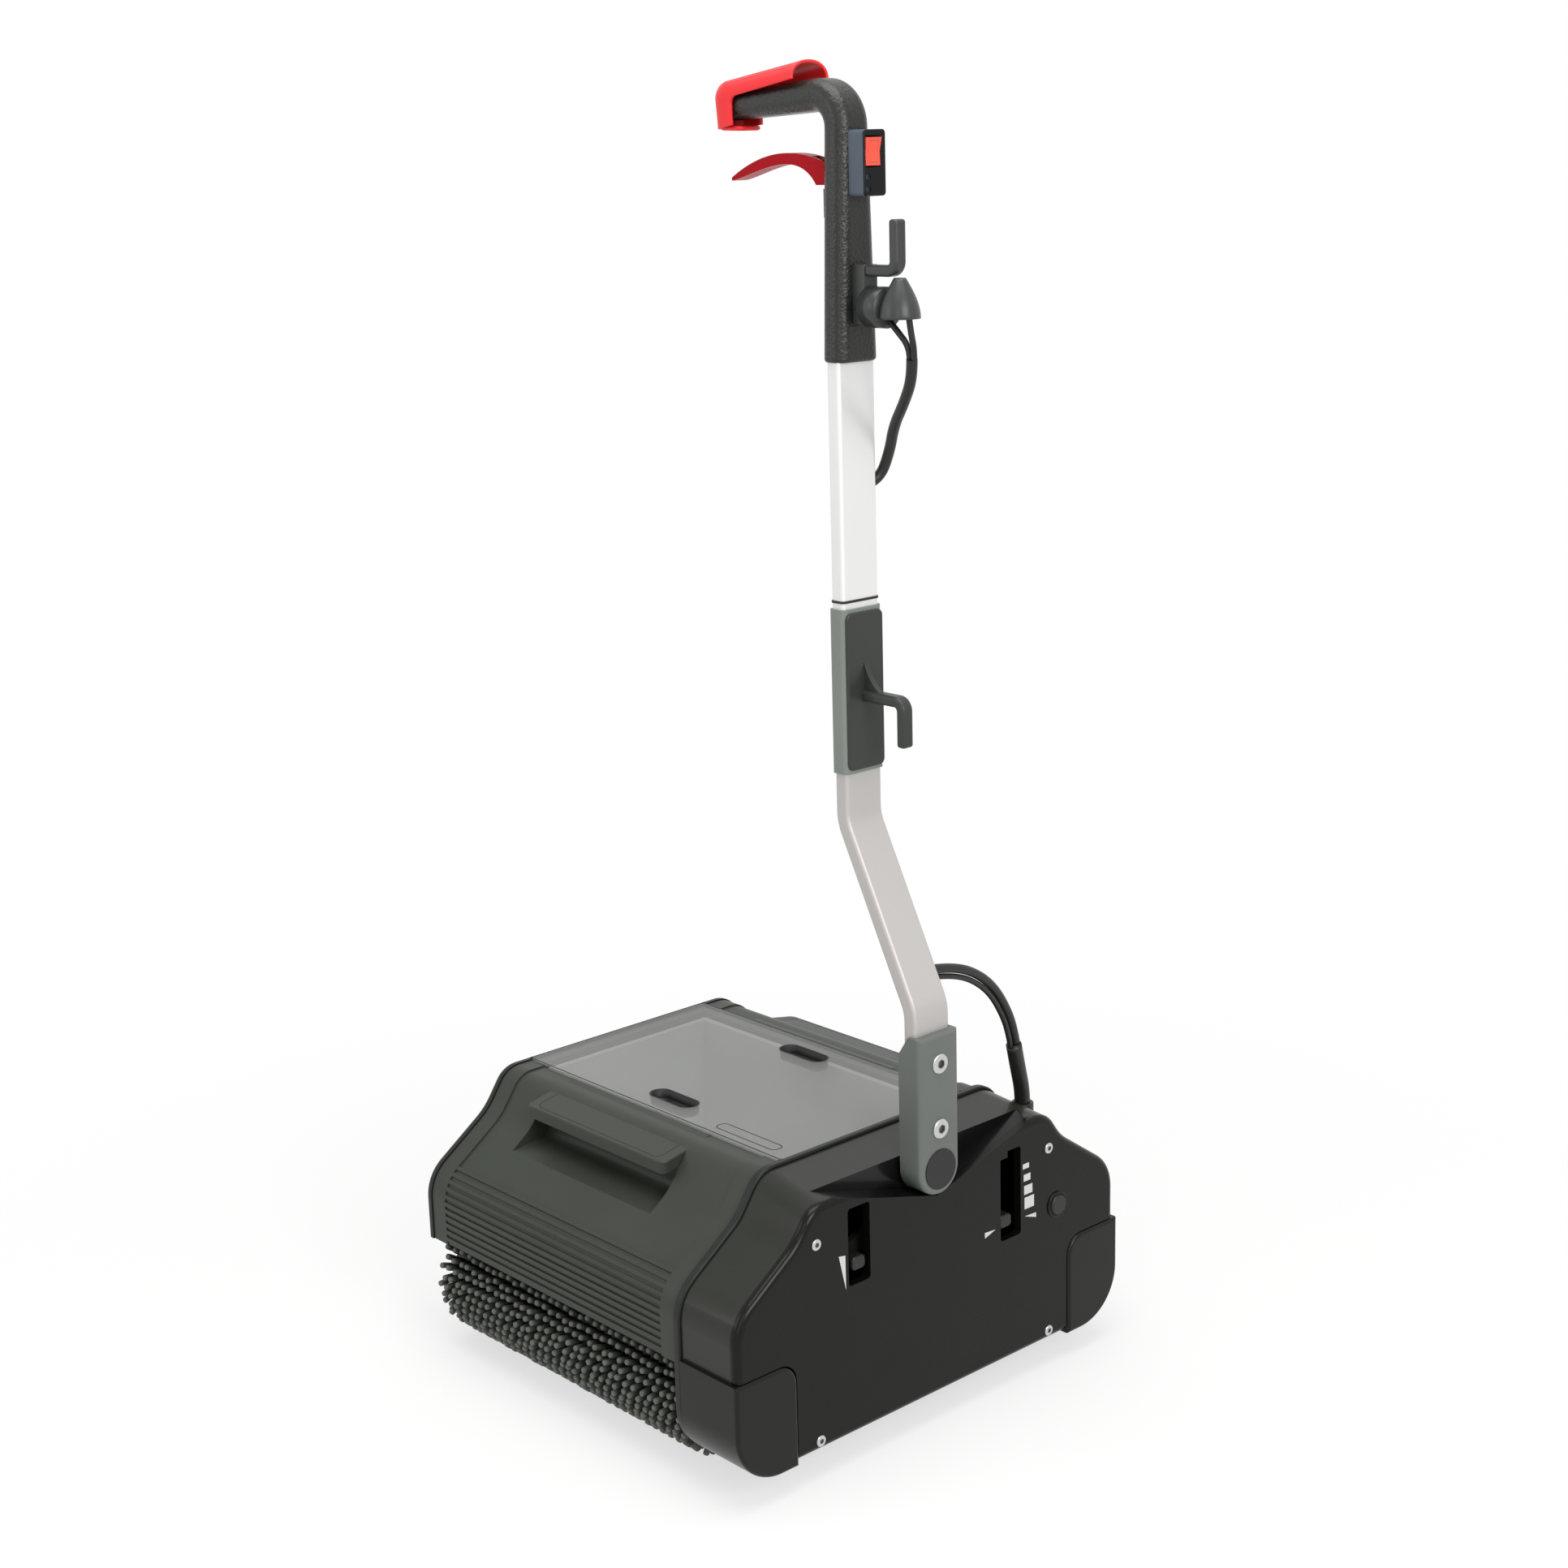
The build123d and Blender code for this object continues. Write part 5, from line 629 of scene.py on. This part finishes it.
def bending_tube(name, route, radius):
    """A tube along a route, baked in place as a mesh."""
    line = spline_points(name, route)
    piece = tube_piece(name, line, radius, finishes["cable"])
    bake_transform(piece)
    return piece, line


cable_sleeve, _ = bending_tube("cable_sleeve", sleeve_route, CABLE_SLEEVE_RADIUS)
lead_cable, lead_line = bending_tube("lead_cable", lead_route, LEAD_RADIUS)
control_cable, control_line = bending_tube("control_cable", control_route, CONTROL_RADIUS)
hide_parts("lower_leads")
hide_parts("lower_cable_sleeve")

# %% Upper cable, from the bell to the side of the tube
UPPER_RADIUS = 4.5 * MM
UPPER_LEAD_RADIUS = 2.5 * MM
upper_route = mm(
    (190.5, 6.0, 895.0), (187.5, 9.0, 880.0), (172.5, 15.0, 860.0), (152.5, 23.0, 840.0),
    (139.0, 31.0, 818.0), (129.0, 30.0, 796.0), (128.0, 19.0, 793.0),
)
front_lead_route = mm((194.1, 0.0, 926.0), (194.4, 1.4, 915.7), (194.7, 4.3, 903.2), (193.0, 6.0, 894.5))
back_lead_route = mm((170.1, 0.0, 926.0), (179.9, 1.4, 916.2), (189.7, 4.3, 904.2), (188.0, 6.0, 895.5))


def held_cable(name, route, radius):
    """A cable that rides on the handle from end to end."""
    length = line_length(spline_points(name, route))
    piece = spline_object(name, route, radius)
    wear(piece, finishes["cable"])
    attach(piece, "handle")
    print(name, "is", round(length, 3), "m long")
    return piece


handle_cable = held_cable("handle_cable", upper_route, UPPER_RADIUS)
front_lead = held_cable("front_lead", front_lead_route, UPPER_LEAD_RADIUS)
held_cable("back_lead", back_lead_route, UPPER_LEAD_RADIUS)
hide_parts("upper_cable")
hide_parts("upper_leads")

# %% [markdown]
# ## Dead-man bar
# The red bar is a thin hood: an arch that lies over the grip's arm, turns down round the arm's end and stops
# below it, where a small lip hooks under the arm. The solid has these forms with plain faces. Here the hood
# is one surface between two lines, the ridge and the foot, which both run along the arm and turn down.
# The arch across them is a superellipse, round over the arm and squarer at its end. Fine grooves run
# along it.

# %% Lines of the bar in the plane of the arm, in millimetres
ARM_ORIGIN = np.array([101.256, 0.0, 1094.939])
ARM_TILT = math.radians(4.0)
ARM_AWAY = np.array([-math.cos(ARM_TILT), 0.0, -math.sin(ARM_TILT)])
ARM_UP = np.array([-math.sin(ARM_TILT), 0.0, math.cos(ARM_TILT)])
ACROSS = np.array([0.0, 1.0, 0.0])
BAR_STEPS = 180
BAR_COLUMNS = 121
BAR_WALL = 2.4
BAR_START = 12.0
BEND_SHARE = (0.62, 0.80)
bar_share = np.linspace(0, 1, BAR_STEPS)


def bent_line(start, corner, tail, radius):
    """Line from start towards corner and then to tail, with an arc of the radius in the corner.

    Each of its three parts, straight, arc and straight, takes its own share of the parameter.
    """
    coming = (corner - start) / np.linalg.norm(corner - start)
    going = (tail - corner) / np.linalg.norm(tail - corner)
    turn = math.acos(float(coming @ going))
    cut = radius * math.tan(turn / 2)
    first = start + (corner - cut * coming - start) * np.clip(bar_share / BEND_SHARE[0], 0, 1)[:, None]
    angle = turn * np.clip((bar_share - BEND_SHARE[0]) / (BEND_SHARE[1] - BEND_SHARE[0]), 0, 1)[:, None]
    inward = (going - coming * math.cos(turn)) / math.sin(turn)
    arc = radius * (np.sin(angle) * coming + (1 - np.cos(angle)) * inward)
    after = np.clip((bar_share - BEND_SHARE[1]) / (1 - BEND_SHARE[1]), 0, 1)[:, None]
    return first + arc + (tail - corner - cut * going) * after


def on_arm(d, r, y):
    """Points from the distance along the arm, the height over it and the place across it."""
    return ARM_ORIGIN + d[..., None] * ARM_AWAY + r[..., None] * ARM_UP + y[..., None] * ACROSS


# %% The hood between its lines
GROOVES = 7
GROOVE_DEPTH = 1.7
GROOVE_REACH = 0.80
GROOVE_SHARPNESS = 4
GROOVE_FADES = (0.06, 0.05)
ARCH_HEIGHT = 14.0
RIDGE_RADIUS = 13.0
FOOT_RADIUS = 6.5
RIDGE = np.array([(BAR_START, 28.0), (114.0, 21.0), (112.5, -16.0)])
FOOT = np.array([(BAR_START, 13.5), (88.0, 7.5), (89.5, -14.5)])
RIDGE_INWARD = np.array([(0, 1), (1, 1), (1, 0)])
HALF_WIDTHS = [20.2, 17.2, 17.2]
ARCH_POWERS = [2.2, 2.5, 4.0, 4.0]


def hood_skin(inset, grooved):
    """One skin of the hood: from the ridge to the foot as the cosine falls, across as the sine grows, both
    raised to two over the superellipse's power, which goes from round to square along the bar."""
    ridge = bent_line(*(RIDGE - inset * RIDGE_INWARD), RIDGE_RADIUS)
    foot = bent_line(*FOOT, FOOT_RADIUS)
    angle = np.linspace(-np.pi / 2, np.pi / 2, BAR_COLUMNS)
    power = 2 / np.interp(bar_share, [0, *BEND_SHARE, 1], ARCH_POWERS)[:, None]
    sine = np.sign(angle) * np.abs(np.sin(angle)) ** power
    fall = 1 - np.abs(np.cos(angle)) ** power
    half = np.interp(bar_share, [0, BEND_SHARE[0], 1], HALF_WIDTHS)[:, None] - inset
    if grooved:
        wave = 0.5 + 0.5 * np.cos(2 * np.pi * GROOVES * (sine / GROOVE_REACH + 1) / 2)
        fades = [0, GROOVE_FADES[0], BEND_SHARE[0], BEND_SHARE[0] + GROOVE_FADES[1]]
        ends = np.interp(bar_share, fades, [0, 1, 1, 0])[:, None] * (np.abs(sine) < GROOVE_REACH)
        fall = fall + GROOVE_DEPTH / ARCH_HEIGHT * wave ** GROOVE_SHARPNESS * ends
    d = ridge[:, 0, None] + (foot - ridge)[:, 0, None] * fall
    r = ridge[:, 1, None] + (foot - ridge)[:, 1, None] * fall
    return on_arm(d, r, half * sine)


def bar_hood():
    """Closed hood: the outer skin and the inner skin, joined along the feet of the arch and at both ends."""
    skins = np.concatenate([hood_skin(0.0, True), hood_skin(BAR_WALL, False)[:, ::-1]], axis=1)
    walls = grid_faces(BAR_STEPS, 2 * BAR_COLUMNS, close_columns=True)
    column = np.arange(BAR_COLUMNS - 1)
    mate = 2 * BAR_COLUMNS - 1 - column
    mouth = np.stack([column, column + 1, mate - 1, mate], -1)
    tail = mouth + (BAR_STEPS - 1) * 2 * BAR_COLUMNS
    return skins.reshape(-1, 3), np.concatenate([mouth[:, ::-1], walls, tail])


# %% The lip under the arm
LIP_SIDES = 48
LIP_MIDDLE = (98.0, -15.0)
LIP_HALF = (14.0, 13.0, 2.0)
LIP_SLOPE = 0.1
LIP_ROOT = 110.0
lip_levels = np.array([-1.0, -1.0, -0.5, 0.5, 1.0, 1.0])
lip_insets = np.array([0.999, 0.12, 0.0, 0.0, 0.12, 0.999])


def bar_lip():
    """Lip under the arm's end: a rounded slab, its outline a superellipse of the fourth power."""
    angle = 2 * np.pi * np.arange(LIP_SIDES) / LIP_SIDES
    reach = (np.cos(angle) ** 4 + np.sin(angle) ** 4) ** -0.25
    size = 1 - lip_insets[:, None]
    d = LIP_MIDDLE[0] + LIP_HALF[0] * size * reach * np.cos(angle)
    y = LIP_HALF[1] * size * reach * np.sin(angle)
    r = LIP_MIDDLE[1] + LIP_HALF[2] * lip_levels[:, None] - LIP_SLOPE * (LIP_ROOT - d)
    faces = grid_faces(len(lip_levels), LIP_SIDES, close_columns=True)[:, ::-1].tolist()
    last = (len(lip_levels) - 1) * LIP_SIDES
    faces += [list(range(LIP_SIDES)), list(range(last, last + LIP_SIDES))[::-1]]
    return on_arm(d, r, y).reshape(-1, 3), faces


hood_points, hood_faces = bar_hood()
lip_points, lip_faces = bar_lip()
bar_points = np.vstack([hood_points, lip_points]) * MM
bar_faces = hood_faces.tolist() + [[corner + len(hood_points) for corner in face] for face in lip_faces]
red_bar = add_piece("red_bar", bar_points, bar_faces, finishes["red"])
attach(red_bar, "deadman_lever")
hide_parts("deadman_bar")
print("faces of the bar:", len(bar_faces))

# %% [markdown]
# ## Cable outlet
# Under the upper hook, a drum carries a small bell that the cable hangs out of. Both are turned forms,
# so one function turns a profile about an axis. The bell is hollow: its profile goes down the outside,
# round the rim and back up the inside.

# %% Shares of the drum's radius
RIM_RISE = 0.5
DRUM_SHORTFALL = 0.8
DRUM_EDGE = 0.06
BELL_NECK = 0.30
BELL_WALL = 0.12

# %% Turned forms
BELL_ROWS = 16
INSIDE_STOP = 4


def turned(centre, axis, reaches, places, sides=64):
    """A profile turned about an axis: a ring for each reach from the axis and place along it."""
    angle = 2 * np.pi * np.arange(sides) / sides
    first = np.roll(axis, 1)
    second = np.cross(axis, first)
    spoke = np.cos(angle)[:, None] * first + np.sin(angle)[:, None] * second
    reaches, places = np.array(reaches), np.array(places)
    points = centre + reaches[:, None, None] * spoke + places[:, None, None] * np.array(axis)
    faces = grid_faces(len(reaches), sides, close_columns=True).tolist()
    last = (len(reaches) - 1) * sides
    return points.reshape(-1, 3), faces + [list(range(sides))[::-1], list(range(last, last + sides))]


def cable_outlet():
    """Drum along X and bell along Z: the bell's outside grows as the sine of its share of the height."""
    low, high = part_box("cable_bell")
    drum_radius = (high.y - low.y) / 2
    bell_x = high.x - drum_radius
    rim_z = low.z + RIM_RISE * drum_radius
    drum_length = bell_x - DRUM_SHORTFALL * drum_radius - low.x
    edge = DRUM_EDGE * drum_radius
    drum, drum_faces = turned(
        np.array([low.x, 0.0, low.z + drum_radius]), (1.0, 0.0, 0.0),
        [drum_radius, drum_radius, drum_radius - edge], [0.0, drum_length - edge, drum_length],
    )
    share = np.linspace(0, 1, BELL_ROWS)
    outside = drum_radius * (BELL_NECK + (1 - BELL_NECK) * np.sin(share * np.pi / 2))
    height = (high.z - rim_z) * (1 - share)
    inner = slice(None, INSIDE_STOP, -1)
    reaches = np.concatenate([outside, outside[inner] - BELL_WALL * drum_radius])
    bell, bell_faces = turned(
        np.array([bell_x, 0.0, rim_z]), (0.0, 0.0, -1.0), reaches, -np.concatenate([height, height[inner]]),
    )
    faces = drum_faces + [[corner + len(drum) for corner in face] for face in bell_faces]
    piece = add_piece("cable_outlet", np.vstack([drum, bell]), faces, finishes["hook"])
    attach(piece, "handle")
    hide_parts("cable_bell")


cable_outlet()

# %% [markdown]
# ## Screw heads
# The solids have plain discs for screw heads. A pan head is a profile turned about the screw's axis,
# except in its socket, where the circle becomes a hexagon: there the radius is the hexagon's inner
# radius divided by the cosine of the angle to the nearest flat.

# %% Pan heads with a hexagon socket
HEAD_SIDES = 48
head_radii = np.array([1.0, 1.0, 0.93, 0.76, 0.52, 0.36, 0.36])
head_rises = np.array([0.0, 0.50, 0.80, 0.96, 1.0, 1.0, 0.12])
head_socket = np.array([0, 0, 0, 0, 0, 1, 1])


def screw_finish():
    """Bright turned steel with painted shade in the socket: an attribute says which points are in it."""
    material, root, place = start_finish("screw_steel")
    socket = root.node("ShaderNodeAttribute", {"attribute_name": "socket"}, output="Fac")
    turning = noise(place, 0.5 * MM, 3.0)
    bright = blend_colour(turning, screen(188, 188, 186), screen(212, 212, 210))
    # Painted shade: points in the socket turn darker and less metallic.
    base = blend_colour(socket, bright, screen(84, 84, 83))
    end_finish(
        root, Base_Color=base, Roughness=turning * 0.1 + 0.24, Metallic=1.0 - socket * 0.8,
        Normal=bump(turning, 0.01 * MM),
    )
    return material


def pan_heads(name, centres, radius, rise, body):
    """Screw heads that face +X, one at each centre, all in one piece."""
    angle = 2 * np.pi * np.arange(HEAD_SIDES) / HEAD_SIDES
    sector = np.pi / 3
    from_flat = (angle + sector / 2) % sector - sector / 2
    hexagon = 1 / np.cos(from_flat)
    reach = radius * head_radii[:, None] * np.where(head_socket[:, None] == 1, hexagon[None], 1.0)
    out = np.broadcast_to(rise * head_rises[:, None], reach.shape)
    one = np.stack([out, reach * np.cos(angle), reach * np.sin(angle)], -1).reshape(-1, 3)
    walls = grid_faces(len(head_radii), HEAD_SIDES, close_columns=True)
    floor_cap = np.arange(len(one) - HEAD_SIDES, len(one))
    back_cap = np.arange(HEAD_SIDES)[::-1]
    starts = np.arange(len(centres)) * len(one)
    points = np.asarray(centres)[:, None] + one[None]
    faces = (walls[None] + starts[:, None, None]).reshape(-1, 4).tolist()
    faces += (floor_cap[None] + starts[:, None]).tolist() + (back_cap[None] + starts[:, None]).tolist()
    piece = add_piece(name, points, faces, finishes["screw"], smooth=False)
    # The socket attribute marks where the painted shade goes.
    socket = np.tile(np.repeat(head_socket, HEAD_SIDES), len(centres)).astype(np.float32)
    piece.data.attributes.new("socket", "FLOAT", "POINT").data.foreach_set("value", socket)
    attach(piece, body)
    print(name, "has", len(centres), "heads")


finishes["screw"] = screw_finish()
cover_low, cover_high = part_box("cover_screws")
bracket_low, bracket_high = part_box("bracket_screws")
COVER_HEAD_RADIUS = 4.8 * MM
COVER_HEAD_RISE = 1.2 * MM
BRACKET_HEAD_RADIUS = 8.5 * MM
BRACKET_HEAD_RISE = 2.2 * MM
cover_ys = [cover_low.y + COVER_HEAD_RADIUS, cover_high.y - COVER_HEAD_RADIUS]
cover_zs = [cover_low.z + COVER_HEAD_RADIUS, cover_high.z - COVER_HEAD_RADIUS]
bracket_zs = [bracket_low.z + BRACKET_HEAD_RADIUS, bracket_high.z - BRACKET_HEAD_RADIUS]
cover_centres = [(cover_high.x, y, z) for y in cover_ys for z in cover_zs]
bracket_centres = [(bracket_high.x, 0.0, z) for z in bracket_zs]
pan_heads("cover_screw_heads", cover_centres, COVER_HEAD_RADIUS, COVER_HEAD_RISE, "chassis")
pan_heads("bracket_screw_heads", bracket_centres, BRACKET_HEAD_RADIUS, BRACKET_HEAD_RISE, "handle")

# %% [markdown]
# ## Marks and moulded lines
# Beside the two lever slots there are small printed marks: a wedge, four bars that grow downwards and
# two triangles. They are thin flat shapes that stand a tenth of a millimetre out of the cover. The carrying
# lips and the lid have thin lines moulded in them, and round the lid's edge a dark strip is a painted
# shadow of the gap between the lid and the deck. Such a line is a strip round a rounded rectangle:
# each point lies on a quarter circle at the corner that its angle belongs to.

# %% Printed marks, in millimetres
COVER_FACE_X = 213.0
PRINT_HEIGHT = 0.12
mark_outlines = [
    [(-113.4, 189.3), (-106.1, 157.7), (-106.2, 188.0)],
    [(105.4, 197.7), (113.2, 197.7), (113.2, 202.3), (105.4, 202.3)],
    [(106.5, 186.0), (115.0, 186.0), (115.0, 192.3), (106.5, 192.3)],
    [(107.0, 173.5), (117.5, 173.5), (117.5, 181.8), (107.0, 181.8)],
    [(107.5, 160.0), (119.5, 160.0), (119.5, 170.8), (107.5, 170.8)],
    [(107.6, 153.5), (122.3, 148.4), (122.0, 152.9)],
    [(57.5, 149.1), (70.9, 153.3), (57.5, 154.2)],
]


def printed_marks(outlines):
    """Flat prisms on the side cover, each from its outline in Y and Z, taken counter-clockwise."""
    points, faces = [], []
    for outline in outlines:
        start = sum(len(part) for part in points)
        corners = np.array(outline)
        count = len(corners)
        back = np.column_stack([np.full(count, COVER_FACE_X), corners])
        points.append(np.vstack([back, back + (PRINT_HEIGHT, 0.0, 0.0)]))
        ring = np.arange(count)
        after = (ring + 1) % count
        walls = np.stack([ring, after, after + count, ring + count], -1) + start
        faces += walls.tolist() + [(ring[::-1] + start).tolist(), (ring + count + start).tolist()]
    piece = add_piece("printed_marks", mm(*np.vstack(points)), faces, finishes["print"], smooth=False)
    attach(piece, "chassis")


printed_marks(mark_outlines)
print("printed marks:", len(mark_outlines))

# %% Moulded lines
LINE_WIDTH = 1.1 * MM
LINE_HEIGHT = 0.08 * MM
CORNER_STEPS = 10
TRAY_LIP_BACK = 107.0 * MM
TRAY_LIP_TOP = 247.0 * MM
TRAY_LIP_FALL = 10.5 / 54.0


def tray_lip_top(x, y):
    """Height of a carrying lip's top, which falls outwards from its back edge."""
    return TRAY_LIP_TOP - (np.abs(y) - TRAY_LIP_BACK) * TRAY_LIP_FALL


def lid_top(x, y):
    """Height of the lid's top, which is level."""
    return np.full_like(x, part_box("lid")[1].z)


def line_strip(name, low, high, corner, surface, body, slot):
    """Strip round a rounded rectangle between two corners in X and Y, lying on a surface."""
    middle = (np.array(low) + high) / 2 * MM
    half = (np.array(high) - low) / 2 * MM
    quarter = np.linspace(0, np.pi / 2, CORNER_STEPS)
    angle = np.concatenate([quarter + turn * np.pi / 2 for turn in range(4)])
    side = np.repeat(np.array([[1, 1], [-1, 1], [-1, -1], [1, -1]]), CORNER_STEPS, axis=0)
    centre = middle + side * (half - corner * MM)
    away = np.stack([np.cos(angle), np.sin(angle)], -1)
    widths = np.array([-0.5, 0.5, 0.5, -0.5]) * LINE_WIDTH
    lifts = np.array([1.0, 1.0, -1.0, -1.0]) * LINE_HEIGHT
    flat = centre[None] + away[None] * (corner * MM + widths)[:, None, None]
    z = surface(flat[..., 0], flat[..., 1]) + lifts[:, None]
    points = np.concatenate([flat, z[..., None]], -1)
    faces = grid_faces(4, 4 * CORNER_STEPS, close_rows=True, close_columns=True)[:, ::-1]
    piece = add_piece(name, points, faces.tolist(), finishes["line"], smooth=False)
    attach(piece, body)


LIP_LINE_X = (-129, 40)
LIP_LINE_Y = (121, 157)
LIP_LINE_CORNER = 6.0
LID_LINE = ((42, -96), (118, -84))
LID_LINE_CORNER = 5.5
# The lid's edge line is painted shadow: a dark strip where the gap round the lid falls into shade.
LID_GAP_SHADE_INSET = 1.2
LID_GAP_SHADE_CORNER = 4.0
for tray, edges in (("front", (-LIP_LINE_Y[1], -LIP_LINE_Y[0])), ("rear", LIP_LINE_Y)):
    low, high = zip(LIP_LINE_X, edges)
    line_strip(
        tray + "_lip_line", low, high, LIP_LINE_CORNER, tray_lip_top, tray + "_waste_tray", "shell_plastic",
    )
line_strip("lid_line", *LID_LINE, LID_LINE_CORNER, lid_top, "tank_lid", "clear_lid")
lid_low, lid_high = [np.array(corner[:2]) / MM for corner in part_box("lid")]
# Painted shadow of the gap round the lid, as a dark strip just inside its edge.
line_strip(
    "lid_gap_shade_line", lid_low + LID_GAP_SHADE_INSET, lid_high - LID_GAP_SHADE_INSET, LID_GAP_SHADE_CORNER, lid_top,
    "tank_lid", "clear_lid",
)
print("moulded lines: 4")

# %% [markdown]
# ## Finger cups of the lid
# The two finger holes of the lid have dark cups under them. A cup is a stadium outline carried down:
# each row has its own inset and its own height, along the rim, down the wall and in over the floor.

# %% Finger cups, in millimetres
CUP_SIDES = 48
CUP_FROM_EDGE = 28.0
CUP_MIDDLE = (-33.0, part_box("lid")[1].y / MM - CUP_FROM_EDGE)
CUP_HALF = (18.0, 9.8)
CUP_RISE = 0.15
CUP_WALL = 0.1
cup_insets = np.array([-0.9, 0.1, 0.3, 0.8, 3.0])
cup_heights = np.array([0.0, 0.0, -8.0, -9.6, -10.0])


def finger_cup(name, side):
    """Open cup: two half circles joined by straights, as an outer skin and an inner skin."""
    angle = 2 * np.pi * (np.arange(CUP_SIDES) + 0.5) / CUP_SIDES
    shift = CUP_HALF[0] * np.sign(np.cos(angle))
    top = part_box("lid")[1].z / MM + CUP_RISE
    skins = []
    for wall in (0.0, CUP_WALL):
        reach = CUP_HALF[1] - cup_insets[:, None] + wall
        x = CUP_MIDDLE[0] + shift + reach * np.cos(angle)
        y = side * CUP_MIDDLE[1] + reach * np.sin(angle)
        z = np.broadcast_to(top + cup_heights[:, None] - wall, x.shape)
        skins.append(np.stack([x, y, z], -1).reshape(-1, 3))
    walls = grid_faces(len(cup_insets), CUP_SIDES, close_columns=True)
    count = len(skins[0])
    floor_ring = list(range(count - CUP_SIDES, count))
    rim = np.arange(CUP_SIDES)
    after = (rim + 1) % CUP_SIDES
    edge = np.stack([rim, rim + count, after + count, after], -1)
    faces = walls.tolist() + (walls[:, ::-1] + count).tolist() + edge.tolist()
    faces += [floor_ring, [corner + count for corner in floor_ring[::-1]]]
    piece = add_piece(name, mm(*np.vstack(skins)), faces, finishes["line"])
    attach(piece, "tank_lid")


finger_cup("front_finger_cup", -1)
finger_cup("rear_finger_cup", 1)
print("finger cups: 2, their middle at", CUP_MIDDLE)

# %% [markdown]
# ## Stage, light and camera
# A pale floor, wide soft lamps above, to the right and in front, a narrow lamp that draws a bright line
# along rounded edges, and a camera at the angle from which the machine was seen. The lamps are set so
# that a colour looks about as it was written.


# %% Floor and world
def seen_ray(root):
    """1 for the rays that show the background: from the camera, in a mirror or through a clear piece."""
    kinds = ("Is Camera Ray", "Is Glossy Ray", "Is Transmission Ray")
    camera, mirror, through = [root.node("ShaderNodeLightPath", output=kind) for kind in kinds]
    return camera.math("MAXIMUM", camera, mirror.math("MAXIMUM", mirror, through))


FLOOR_HALF = 9.0
FLOOR_POINTS = 19


def pale_floor():
    """Flat floor that keeps the machine's shadow near it and turns plain white further away."""
    spread = np.linspace(-FLOOR_HALF, FLOOR_HALF, FLOOR_POINTS)
    x, y = np.meshgrid(spread, spread, indexing="xy")
    points = np.stack([x, y, np.zeros_like(x)], -1)
    material, root, place = start_finish("pale_floor")
    ray = seen_ray(root)
    reach = root.node("ShaderNodeVectorMath", {"operation": "LENGTH"}, {0: place}, output="Value")
    fade = {"Value": reach, "From Min": 0.4, "From Max": 1.1, "To Min": 0.65, "To Max": 1.0}
    white = root.node("ShaderNodeMapRange", {"interpolation_type": "SMOOTHSTEP"}, fade)
    soft = noise(place, 0.8, 2.0)
    colour = blend_colour(soft, screen(236, 236, 235), screen(240, 240, 239))
    diffuse = root.node("ShaderNodeBsdfDiffuse", sockets={"Color": colour})
    glow = root.node("ShaderNodeEmission", sockets={"Color": (1.0, 1.0, 1.0, 1.0), "Strength": 1.0})
    mixed = root.node("ShaderNodeMixShader", sockets={"Fac": ray * white, 1: diffuse, 2: glow})
    root.node("ShaderNodeOutputMaterial", sockets={"Surface": mixed})
    floor = add_piece("floor", points, grid_faces(FLOOR_POINTS, FLOOR_POINTS), material)


def pale_world():
    """Even soft light from all sides, and plain white where the camera looks past the floor."""
    world = bpy.data.worlds.new("studio")
    scene.world = world
    world.use_nodes = True
    world.node_tree.nodes.clear()
    root = Wire(world.node_tree)
    strength = seen_ray(root) * 0.5 + 0.5
    sky = root.node("ShaderNodeBackground", sockets={"Color": (1.0, 1.0, 1.0, 1.0), "Strength": strength})
    root.node("ShaderNodeOutputWorld", sockets={"Surface": sky})


pale_floor()
pale_world()
scene.view_settings.view_transform = "Standard"


# %% Lamps
def soft_lamp(name, place, target, size, power):
    """A rectangular area lamp that faces a point, from its width and height."""
    lamp = bpy.data.lights.new(name, "AREA")
    lamp.shape = "RECTANGLE"
    lamp.size, lamp.size_y = size
    lamp.energy = power
    holder = bpy.data.objects.new(name, lamp)
    holder.location = place
    aim = Vector(target) - Vector(place)
    holder.rotation_euler = aim.to_track_quat("-Z", "Y").to_euler()
    scene.collection.objects.link(holder)


middle = (0.0, 0.0, 0.4)
soft_lamp("top_lamp", (0.3, -0.2, 2.8), middle, (2.0, 2.0), 48)
soft_lamp("right_lamp", (2.4, -0.6, 1.6), middle, (1.2, 1.2), 30)
soft_lamp("front_lamp", (-1.2, -2.4, 1.4), middle, (1.4, 1.4), 9)
soft_lamp("edge_lamp", (1.5, -2.1, 1.2), middle, (0.06, 1.8), 5)

# %% Camera
CAMERA_PLACE = mm(1574.9, -1381.7, 1060.7)
CAMERA_YAW = math.radians(48.08)
CAMERA_PITCH = math.radians(14.38)
CAMERA_ROLL = math.radians(-1.54)
CAMERA_LENS = 57.54
CAMERA_SENSOR = 36.0


def studio_camera():
    """Camera turned by yaw about the upright, tipped down by pitch and rolled about its own line of sight."""
    forward = Vector((
        -math.sin(CAMERA_YAW) * math.cos(CAMERA_PITCH), math.cos(CAMERA_YAW) * math.cos(CAMERA_PITCH),
        -math.sin(CAMERA_PITCH),
    ))
    level = Vector((math.cos(CAMERA_YAW), math.sin(CAMERA_YAW), 0.0))
    upright = level.cross(forward)
    right = level * math.cos(CAMERA_ROLL) + upright * math.sin(CAMERA_ROLL)
    up = upright * math.cos(CAMERA_ROLL) - level * math.sin(CAMERA_ROLL)
    data = bpy.data.cameras.new("studio_camera")
    data.lens = CAMERA_LENS
    data.sensor_width = CAMERA_SENSOR
    data.clip_end = 60.0
    camera = bpy.data.objects.new("studio_camera", data)
    turn = Matrix((right, up, -forward)).transposed().to_4x4()
    camera.matrix_world = Matrix.Translation(Vector(CAMERA_PLACE)) @ turn
    scene.collection.objects.link(camera)
    scene.camera = camera


studio_camera()
